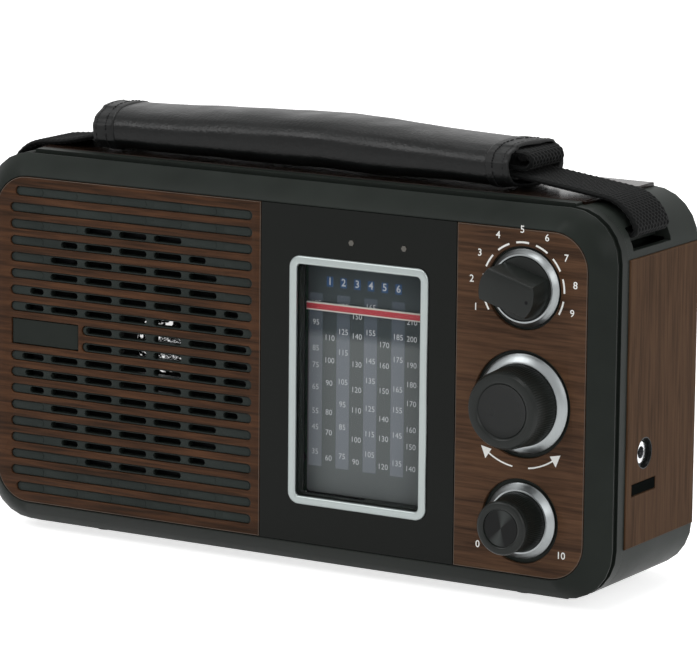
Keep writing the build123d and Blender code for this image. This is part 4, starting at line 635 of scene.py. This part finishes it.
def ribbon(name, centre, inner, outer, start, end, count=16):
    """Flat arc of print around a centre, between two angles in degrees."""
    points, faces = [], []
    for i in range(count + 1):
        a = radians(start + (end - start) * i / count)
        points += [(x, PRINT_Y, z) for x, z in (around(centre, inner, a), around(centre, outer, a))]
        if i:
            faces.append((2 * i - 2, 2 * i - 1, 2 * i + 1, 2 * i))
    return raw(name, points, faces)


def number(text, x, z, height, y, bold=0.0):
    """A plain number, centred, as a flat mesh."""
    curve = bpy.data.curves.new("number", "FONT")
    curve.body, curve.size, curve.align_x, curve.align_y = text, height * 1.38, "CENTER", "CENTER"
    curve.offset = bold
    curve.resolution_u = 3
    holder = placed("number", curve)
    bpy.context.view_layer.update()
    mesh = evaluated(holder)
    bpy.data.objects.remove(holder)
    bpy.data.curves.remove(curve)
    mesh.transform(Matrix.Translation((x, y, z)) @ Matrix.Rotation(pi / 2, 4, "X"))
    return mesh


prints = []
for i in range(POSITIONS):
    a = FIRST_ANGLE + STEP_ANGLE * i
    spot = around(KNOBS["function"], 16.6, radians(a))
    prints.append(ribbon("tick", KNOBS["function"], 12.75, 13.3, a - 9, a + 9))
    prints.append(number(str(POSITIONS - i), *spot, NUMBER_HEIGHT, PRINT_Y, NUMBER_BOLD))
for hand in (-1, 1):
    prints.append(ribbon("arc", KNOBS["tuning"], 18.0, 18.45, 270 + hand * 8, 270 + hand * 34))
    tip, foot = radians(270 + hand * 44), radians(270 + hand * 34)
    corners = [around(KNOBS["tuning"], r, a) for r, a in ((18.3, tip), (20.2, foot), (16.7, foot))]
    prints.append(raw("arrow", [(x, PRINT_Y, z) for x, z in corners], [(0, 1, 2)]))
for a, text in ((212, "0"), (328, "10")):
    spot = around(KNOBS["volume"], 15.8, radians(a))
    prints.append(number(text, *spot, NUMBER_HEIGHT, PRINT_Y, NUMBER_BOLD))
settle(joined("control_print", prints), "case", INK)

# ---------------------------------------------------------------- dial

FRAME_WIDTH = 2.6
frame_low, frame_high = span("dial_frame")
window = (
    frame_low.x + FRAME_WIDTH, frame_high.x - FRAME_WIDTH,
    frame_low.z + FRAME_WIDTH, frame_high.z - FRAME_WIDTH,
)
loops = [rounded(frame_low.x, frame_high.x, frame_low.z, frame_high.z, 3.6), rounded(*window, 1.2, 6)]
settle(
    cut("silver_frame", loops, frame_low.y, TRIM_THICKNESS - 1.1, 0.7, 5),
    "case", SILVER, ["dial_frame"],
)

COLUMNS = 8
scale_y = span("dial_pointer")[0].y + 1.15
top, bottom = window[3] - 9.0, window[2] + 8.0
pitch = (window[1] - window[0] - 4.4) / COLUMNS
strips, headers, digits = [], [], []


def scale_ink(name, low_colour, top_colour_painted_reflection):
    """Printed strip whose colour darkens towards the top of the scale, a painted reflection of a dark room in
    the lens.
    """
    finish = Finish(name, rgb(*low_colour), 0.5, Specular_IOR_Level=0.1)
    height = finish.node("ShaderNodeSeparateXYZ", {0: finish.place}).outputs["Z"]
    # The colour steps to the darker one 21 mm below the window's top: a painted reflection.
    edge = (ORIGIN.z * 1000 + window[3] - 21.0) / 1000
    share = finish.span(height, edge - 0.0015, edge + 0.0015, 0.0, 1.0)
    finish.put("Base Color", finish.mix(share, rgb(*low_colour), rgb(*top_colour_painted_reflection)))
    return finish.material


def patch(left, right, low, high, y):
    return raw("patch", [(left, y, low), (right, y, low), (right, y, high), (left, y, high)], [(0, 1, 2, 3)])


for column in range(COLUMNS):
    left = window[0] + 0.7 + column * pitch
    x, outer = left + pitch / 2, column in (0, COLUMNS - 1)
    if column % 2 == 0:
        strips.append(patch(left + 0.1, left + pitch - 0.1, bottom, top, scale_y - 0.03))
    if not outer:
        headers.append(patch(x - 1.1, x + 1.1, top + 2.2, top + 5.2, scale_y - 0.03))
        digits.append(number(str(column), x, top + 3.7, 2.2, scale_y - 0.05, 0.04))
    count = 8 if outer else 7
    for k in range(count):
        shift = 0.8 * sin(2.3 * k + 1.7 * column)
        z = top - 3.0 - (column % 2) * 2.0 - k * (top - bottom - 7.5) / (count - 1) + shift
        digits.append(number(str(5 * (21 + 3 * column - 2 * k)), x, z, 1.7, scale_y - 0.05))
plate = [rounded(window[0] + 0.3, window[1] - 0.3, window[2] + 0.3, window[3] - 0.3, 1.0, 6)]
plate = cut("scale_sheet", plate, scale_y - 0.015, scale_y + 1.0, 0.05, 1)
# The plate and the light strips darken towards the top: painted reflection.
settle(plate, "case", scale_ink("scale_plate", (104, 109, 109), (58, 66, 68)))
settle(joined("scale_light_strips", strips), "case", scale_ink("scale_light", (126, 132, 138), (80, 88, 96)))
settle(joined("scale_headers", headers), "case", scale_ink("scale_blue", (52, 84, 122), (52, 84, 122)))
settle(joined("scale_numbers", digits), "case", Finish("scale_ink", rgb(196, 200, 202), 0.5).material)

low, high = span("dial_pointer")
pointer_z = middle("dial_pointer").z
left, right = window[0] + 0.4, high.x
red = Finish("pointer_red", rgb(178, 62, 70), 0.3, Specular_IOR_Level=0.2).material
bar = [rounded(left, right, pointer_z - 0.85, pointer_z + 0.85, 0.1, 2)]
bar = cut("pointer_bar", bar, low.y, low.y + 0.9, 0.12)
settle(bar, "scale_pointer", red, ["dial_pointer"])
for side, z in (("upper", pointer_z + 1.0), ("lower", pointer_z - 1.0)):
    edge = [rounded(left, right, z - 0.18, z + 0.18, 0.05, 2)]
    edge = cut("pointer_edge_" + side, edge, low.y - 0.05, low.y + 0.8, 0.05)
    settle(edge, "scale_pointer", PALE)

# ---------------------------------------------------------------- strap and grip

STRAP_Y, STRAP_WIDTH, STRAP_THICKNESS = middle("handle_strap").y, 20.6, 1.8
grip_low, grip_high = span("handle_grip")


def route(points, radii, step=0.75):
    """Even points along a run of straight lines with rounded corners, in (X, Z)."""
    line = [Vector(points[0])]
    for before, corner, after, r in zip(points, points[1:], points[2:], radii):
        before, corner, after = Vector(before), Vector(corner), Vector(after)
        u, v = (before - corner).normalized(), (after - corner).normalized()
        half = u.angle(v) / 2
        back = r / (sin(half) / cos(half))
        centre = corner + (u + v).normalized() * (r / sin(half))
        start, end = corner + u * back - centre, corner + v * back - centre
        turn = start.angle_signed(end)
        for i in range(13):
            cosine, sine = cos(-turn * i / 12), sin(-turn * i / 12)
            line.append(centre + Vector((start.x * cosine - start.y * sine, start.x * sine + start.y * cosine)))
    line.append(Vector(points[-1]))
    lengths = [0.0]
    for a, b in zip(line, line[1:]):
        lengths.append(lengths[-1] + (b - a).length)
    out, k = [], 0
    count = max(2, ceil(lengths[-1] / step))
    for i in range(count + 1):
        s = lengths[-1] * i / count
        while k < len(lengths) - 2 and lengths[k + 1] < s:
            k += 1
        share = (s - lengths[k]) / max(lengths[k + 1] - lengths[k], 1e-9)
        out.append(line[k].lerp(line[k + 1], min(max(share, 0), 1)))
    return out


case_half, case_top = (cabinet_high.x - cabinet_low.x) * 500, 55.9
anchor = (99.6, 48.8)
right_run = [(grip_high.x + 2, 61.6), (case_half - 4.2, case_top + 0.95), (case_half + 0.5, 46.9), anchor]
left_run = [(-x, z) for x, z in reversed(right_run[1:])] + [(-87.0, 58.1), (grip_low.x + 1, 61.0)]
line = route(left_run + right_run, [1.6, 12.5, 60.0, 14.0, 40.0, 12.5, 1.6], 0.24)


def webbing(name, centre_line, width, thickness, y, yarn=0.95, relief=0.16):
    """Ribbon of coarse plain weave: each yarn crossing is a small crown, alternating over and under."""
    across = 4 * round(width / yarn)
    points, faces, count = [], [], across + 1
    travelled = 0.0
    for i, p in enumerate(centre_line):
        before, after = centre_line[max(i - 1, 0)], centre_line[min(i + 1, len(centre_line) - 1)]
        tangent = (after - before).normalized()
        normal = Vector((-tangent.y, tangent.x))
        travelled += (p - before).length
        for face in (1, -1):
            for j in range(count):
                v = j / across
                lift = relief * sin(pi * travelled / yarn) * sin(pi * v * width / yarn) * face
                edge = min(1.0, min(v, 1 - v) * width / 0.8)
                offset = (thickness / 2 * (0.35 + 0.65 * edge) - relief + lift * edge) * face
                at = p + normal * offset
                points.append((at.x, y + (v - 0.5) * width, at.y))
    ring = 2 * count
    for i in range(len(centre_line) - 1):
        a, b = i * ring, (i + 1) * ring
        for j in range(count - 1):
            faces.append((a + j, a + j + 1, b + j + 1, b + j))
            faces.append((a + count + j + 1, a + count + j, b + count + j, b + count + j + 1))
        faces.append((a + count, a, b, b + count))
        faces.append((a + count - 1, a + ring - 1, b + ring - 1, b + count - 1))
    for a in (0, (len(centre_line) - 1) * ring):
        for j in range(count - 1):
            faces.append((a + j, a + j + 1, a + count + j + 1, a + count + j))
    return outward(raw(name, points, faces))


strap = webbing("strap", line, STRAP_WIDTH, STRAP_THICKNESS, STRAP_Y)
strap = settle(strap, None, WEBBING, ["handle_strap"], smooth=80)
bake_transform(strap)

# Each end's X at the strap's middle and at GRIP_LEVEL, and its slant with depth and with height.
GRIP_ENDS = {-1: (-75.2, -0.1, -0.1), 1: (68.8, 0.1, -0.12)}
CUFF_WIDTH, CUFF_MOUTH = 7.2, 3.6
GRIP_LEVEL = 64.0
PUFF_FRAMES = 20


def grip_end(hand, y, z, back=0.0):
    """X of one slanted end of the grip at a depth and height, or a step back from there."""
    x, by_depth, by_height = GRIP_ENDS[hand]
    return x + by_depth * (y - STRAP_Y) + by_height * (z - GRIP_LEVEL) - hand * back


def grip_section(shrink=0.0, count=64):
    """Section of the grip: domed above, flatter below, round at the front and back edges."""
    half, height = (grip_high.y - grip_low.y) / 2 - shrink, (grip_high.z - grip_low.z - shrink) / 2
    ring = []
    for i in range(count):
        a = 2 * pi * i / count
        u = abs(cos(a)) ** (0.66 if sin(a) > 0 else 0.5) * (1 if cos(a) > 0 else -1)
        v = abs(sin(a)) ** (0.85 if sin(a) > 0 else 0.55) * (1 if sin(a) > 0 else -1)
        ring.append((STRAP_Y + half * u, grip_low.z + height * (1 + v)))
    return ring


def puffed(mesh, voxel, pressure, limit, pinned):
    """Blows a closed mesh up as stuffed cloth. No point moves further than the limit; pinned points stay."""
    holder = placed("pad", mesh)
    grid = holder.modifiers.new("grid", "REMESH")
    grid.mode, grid.voxel_size, grid.use_smooth_shade = "VOXEL", voxel, True
    bpy.context.view_layer.update()
    pad = evaluated(holder)
    holder.modifiers.clear()
    holder.data = pad
    rest = [point.co.copy() for point in pad.vertices]
    held = holder.vertex_groups.new(name="held")
    held.add([i for i, co in enumerate(rest) if pinned(co)], 1.0, "REPLACE")
    cloth = holder.modifiers.new("cloth", "CLOTH")
    settings = cloth.settings
    settings.quality, settings.mass, settings.vertex_group_mass = 6, 0.3, "held"
    settings.tension_stiffness = settings.compression_stiffness = 25
    settings.bending_stiffness = 2.0
    settings.use_pressure, settings.uniform_pressure_force = True, pressure
    settings.effector_weights.gravity = 0
    cloth.collision_settings.use_collision = False
    cloth.point_cache.frame_start, cloth.point_cache.frame_end = 1, PUFF_FRAMES
    for step in range(1, PUFF_FRAMES + 1):
        bpy.context.scene.frame_set(step)
    done = evaluated(holder)
    bpy.context.scene.frame_set(1)
    bpy.data.objects.remove(holder)
    for point, start in zip(done.vertices, rest):
        moved = point.co - start
        if moved.length > limit:
            point.co = start + moved.normalized() * limit
    return done


stations, loops = 48, []
outline = grip_section(1.2)
for i in range(stations + 1):
    share = i / stations
    fat = 1 + 0.22 * exp(-(((share - 0.52) / 0.32) ** 2))
    loop = []
    for y, z in outline:
        x = (1 - share) * grip_end(-1, y, z, CUFF_MOUTH) + share * grip_end(1, y, z, CUFF_MOUTH)
        loop.append((x, y, grip_low.z + (z - grip_low.z) * fat))
    loops.append(loop)
pad = stacked("grip_pad", loops)
pad.transform(Matrix.Scale(0.001, 4))
mouth = CUFF_WIDTH - 1.0

def near_end(co):
    x, y, z = co * 1000
    return x < grip_end(-1, y, z, mouth) or x > grip_end(1, y, z, mouth) or z < grip_low.z + 1.2

pad = puffed(pad, voxel=0.0021, pressure=4.0, limit=0.0016, pinned=near_end)
pad.transform(Matrix.Scale(1000, 4))
skin = BVHTree.FromPolygons([v.co for v in pad.vertices], [p.vertices for p in pad.polygons])


def on_skin(hand, y, z, back, lift):
    """Point on the grip's skin beside a point of its section, lifted off it."""
    centre = Vector((0, STRAP_Y, (grip_low.z + grip_high.z) / 2))
    x = grip_end(hand, y, z, max(back, CUFF_MOUTH + 0.8))
    out = (Vector((0, y, z)) - centre).normalized()
    hit = skin.ray_cast(Vector((x, centre.y, centre.z)) + out * 40, -out)[0] or Vector((x, y, z))
    place = hit + out * lift
    height = max(place.z, grip_low.z - 0.3)
    return Vector((grip_end(hand, place.y, height, back), place.y, height))


def bead(a, b, thickness):
    """One stitch: a short round-ended thread between two points."""
    along = (b - a).normalized()
    across = along.orthogonal().normalized()
    third = along.cross(across)
    points, faces = [a - along * thickness * 0.3], []
    for share, r in ((0.0, 0.7), (0.3, 1.0), (0.7, 1.0), (1.0, 0.7)):
        for k in range(6):
            turn = k * pi / 3
            points.append(a.lerp(b, share) + (across * cos(turn) + third * sin(turn)) * (r * thickness / 2))
    points.append(b + along * thickness * 0.3)
    for k in range(6):
        after = (k + 1) % 6
        faces.append((0, 1 + after, 1 + k))
        faces += [(1 + 6 * n + k, 1 + 6 * n + after, 7 + 6 * n + after, 7 + 6 * n + k) for n in range(3)]
        faces.append((19 + k, 19 + after, 25))
    return raw("stitch", points, faces)


fine = grip_section(0.9, 160)
threads = []
for hand, name in ((-1, "left"), (1, "right")):
    rings = []
    for back, lift in (
        (CUFF_WIDTH + 0.3, 0.0), (CUFF_WIDTH, 0.35), (CUFF_WIDTH - 0.4, 0.55), (3.4, 0.6), (1.0, 0.75),
        (0.35, 0.6), (0.05, 0.15), (0.0, -0.35), (0.3, -0.75), (0.9, -0.9), (CUFF_MOUTH + 0.5, -0.9),
    ):
        rings.append([tuple(on_skin(hand, y, z, back, lift)) for y, z in fine])
    cuff = stacked("grip_cuff_" + name, rings)
    settle(cuff, "grip", CUFF, smooth=60)
    for back in (4.9, 1.5):
        run = [on_skin(hand, y, z, back, 0.68) for y, z in fine]
        for k in range(0, len(run), 3):
            threads.append(bead(run[k], run[(k + 2) % len(run)], 0.34))
settle(joined("grip_stitches", threads), "grip", THREAD, smooth=60)
for point in pad.vertices:
    soft = noise.noise(point.co * 0.045) * 0.35 + noise.noise(point.co * 0.11 + Vector((7, 3, 1))) * 0.16
    x, y, z = point.co
    inner = min(grip_end(1, y, z) - x, x - grip_end(-1, y, z))
    share = min(max((inner - CUFF_WIDTH) / 8, 0), 1)
    point.co.z += soft * share
bm = bmesh.new()
bm.from_mesh(pad)
bmesh.ops.smooth_vert(bm, verts=bm.verts, factor=0.5, use_axis_x=True, use_axis_y=True, use_axis_z=True)
bmesh.ops.subdivide_edges(bm, edges=bm.edges, cuts=1, use_grid_fill=True, smooth=0.6)
bm.to_mesh(pad)
bm.free()
pad.name = "grip_pad"
grip = settle(pad, "grip", LEATHER, ["handle_grip"], smooth=60)

fold = route([(56, 68.4), (70.0, 67.8), (75.0, 65.7), (70.0, 63.4), (56, 63.3)], [3.0, 2.0, 3.0], 0.24)
settle(webbing("strap_fold", fold, STRAP_WIDTH - 0.6, 1.5, STRAP_Y), "grip", WEBBING, smooth=80)

# ---------------------------------------------------------------- label, socket lining, painted edge highlights, screws

side_face, jack = span("side_panel_right")[1].x, middle("headphone_jack")
outline = rounded(jack.y - 7.4, jack.y + 6.7, jack.z - 11.2, jack.z - 8.1, 0.3, 3)
label = cut("bare_label", [outline], -0.15, 0.15, 0.08)
label.transform(Matrix.Translation((side_face - 0.2, 0, 0)) @ Matrix.Rotation(pi / 2, 4, "Z"))
label_black = Finish("label_black", rgb(17, 19, 18), 0.7, Specular_IOR_Level=0.0).material
settle(label, "case", label_black)
lining = [(3.45, 1.18), (3.45, 1.05), (4.2, 1.05), (4.3, 0.05), (4.55, 0.05), (4.55, 1.18)]
lining = turned("socket_lining", lining + lining[:1], jack.y, jack.z, 64)
lining.transform(Matrix.Translation((side_face, 0, 0)) @ Matrix.Rotation(pi / 2, 4, "Z"))
settle(lining, "case", KNOB_DISH)

# Thin light lines along the trims' outer edges: a painted highlight standing for their lit bevels.
for name, box_low, box_high, corners in (
    ("grille_edge", GRILLE_LOW, GRILLE_HIGH, GRILLE_CORNERS),
    ("control_edge", CONTROL_LOW, CONTROL_HIGH, CONTROL_CORNERS),
):
    loops = []
    for d in (0.12, 0.28):
        radii = [max(r - d, 0) for r in corners]
        loops.append(rounded(box_low.x + d, box_high.x - d, box_low.z + d, box_high.z - d, radii))
    settle(cut(name, loops, -0.02, 0.3, 0.02, 1), "case", EDGE_HIGHLIGHT_PAINTED)

HEAD_INSET = 2.6
screw_low, screw_high = span("case_screws")
back = screw_high.y
core = [(0, back - 0.9), (1.9, back - 0.9), (1.9, back - 1.3), (0, back - 1.3)]
cross = []
for quarter in range(4):
    c, s = cos(quarter * pi / 2), sin(quarter * pi / 2)
    cross += [(a * c + b * s, b * c - a * s) for a, b in ((0.35, 1.4), (0.35, 0.35), (1.4, 0.35))]
heads = []
for x in (screw_low.x + HEAD_INSET, screw_high.x - HEAD_INSET):
    for z in (screw_low.z + HEAD_INSET, screw_high.z - HEAD_INSET):
        loops = [circle(x, z, 2.5, 40), [(x + a, z + b) for a, b in cross]]
        heads.append(cut("head", loops, back - 1.4, back, 0.3, 3))
        heads.append(turned("core", core, x, z, 24))
settle(joined("screw_heads", heads), "case", STEEL, ["case_screws"])

# ---------------------------------------------------------------- dust cap and feet

cap_low, cap_high = span("dust_cap")
cap_r = radius("dust_cap")
angles = [pi / 2 * i / 12 for i in range(13)]
profile = [(cap_r * sin(a), cap_high.y - (cap_high.y - cap_low.y) * cos(a)) for a in angles]
# The dome's foil glows in scattered spots: painted glints, not a lamp.
settle(turned("foil_dome_painted_glints", profile, SPEAKER_X, 0, 96), "case", foil_with_painted_glints.material, ["dust_cap"])

foot_low, foot_high = span("feet")
for i, (x, y) in enumerate([(-72.5, 19.0), (-72.5, 46.0), (72.5, 19.0), (72.5, 46.0)]):
    profile = [(0, 0), (3.6, 0), (3.9, 0.3), (4.0, foot_high.z - foot_low.z), (0, foot_high.z - foot_low.z)]
    foot = turned(f"foot_{i + 1}", profile, 0, 0, 48)
    upright = Matrix.Rotation(pi / 2, 4, "X") @ Matrix.Scale(-1, 4, (0, 0, 1))
    foot.transform(Matrix.Translation((x, y, foot_low.z)) @ upright)
    foot.flip_normals()
    settle(foot, "case", RUBBER, ["feet"] if i == 0 else ())

# ---------------------------------------------------------------- floor, light and camera


def bright_to_eye(tree):
    """1 for rays from the camera, in mirrors and through glass, and 0 for light that falls on things."""
    paths = tree.nodes.new("ShaderNodeLightPath")
    seen = paths.outputs["Is Camera Ray"]
    for ray in ("Is Glossy Ray", "Is Transmission Ray"):
        higher = tree.nodes.new("ShaderNodeMath")
        higher.operation = "MAXIMUM"
        tree.links.new(seen, higher.inputs[0])
        tree.links.new(paths.outputs[ray], higher.inputs[1])
        seen = higher.outputs[0]
    return seen


floor = placed("floor", raw("floor", [(-4, -4, 0), (4, -4, 0), (4, 4, 0), (-4, 4, 0)], [(0, 1, 2, 3)]))
pale = bpy.data.materials.new("pale_floor")
pale.use_nodes = True
tree = pale.node_tree
surface = tree.nodes["Principled BSDF"]
surface.inputs["Base Color"].default_value = (0.86, 0.86, 0.86, 1)
surface.inputs["Roughness"].default_value = 0.9
surface.inputs["Specular IOR Level"].default_value = 0.1
surface.inputs["Emission Color"].default_value = (1, 1, 1, 1)
glow = tree.nodes.new("ShaderNodeMath")
glow.operation = "MULTIPLY"
glow.inputs[1].default_value = 0.74
tree.links.new(bright_to_eye(tree), glow.inputs[0])
tree.links.new(glow.outputs[0], surface.inputs["Emission Strength"])
floor.data.materials.append(pale)

world = bpy.data.worlds.new("studio")
bpy.context.scene.world = world
world.use_nodes = True
tree = world.node_tree
ambient = tree.nodes["Background"]
ambient.inputs["Color"].default_value, ambient.inputs["Strength"].default_value = (1, 1, 1, 1), 0.4
white, mixer = tree.nodes.new("ShaderNodeBackground"), tree.nodes.new("ShaderNodeMixShader")
white.inputs["Color"].default_value, white.inputs["Strength"].default_value = (1, 1, 1, 1), 1.0
tree.links.new(bright_to_eye(tree), mixer.inputs[0])
tree.links.new(ambient.outputs[0], mixer.inputs[1])
tree.links.new(white.outputs[0], mixer.inputs[2])
tree.links.new(mixer.outputs[0], tree.nodes["World Output"].inputs[0])


def lamp(name, place, aim, size, power):
    light = bpy.data.lights.new(name, "AREA")
    light.shape, light.size, light.size_y, light.energy = "RECTANGLE", size[0], size[1], power
    holder = placed(name, light)
    holder.location = place
    holder.rotation_euler = (Vector(aim) - Vector(place)).to_track_quat("-Z", "Y").to_euler()


lamp("key", (-0.9, -1.2, 1.3), (0, 0, 0.06), (0.8, 0.8), 11)
lamp("fill", (1.3, -0.7, 0.7), (0, 0, 0.06), (0.8, 0.8), 5)
lamp("top", (0.1, 0.1, 1.3), (0, 0, 0.1), (1.0, 0.6), 9)

AZIMUTH, ELEVATION, ROLL = radians(30.876), radians(10.561), radians(0.57)
AIM, DISTANCE = Vector((0.01811, -0.01662, 0.07416)), 1.32495
away = Vector((sin(AZIMUTH) * cos(ELEVATION), -cos(AZIMUTH) * cos(ELEVATION), sin(ELEVATION)))
camera = placed("camera", bpy.data.cameras.new("camera"))
camera.location = AIM + away * DISTANCE
facing = away.to_track_quat("Z", "Y").to_matrix().to_4x4() @ Matrix.Rotation(ROLL, 4, "Z")
camera.rotation_euler = facing.to_euler()
camera.data.lens, camera.data.sensor_width = 237.17, 36.0
bpy.context.scene.camera = camera
bpy.context.scene.view_settings.view_transform = "Standard"
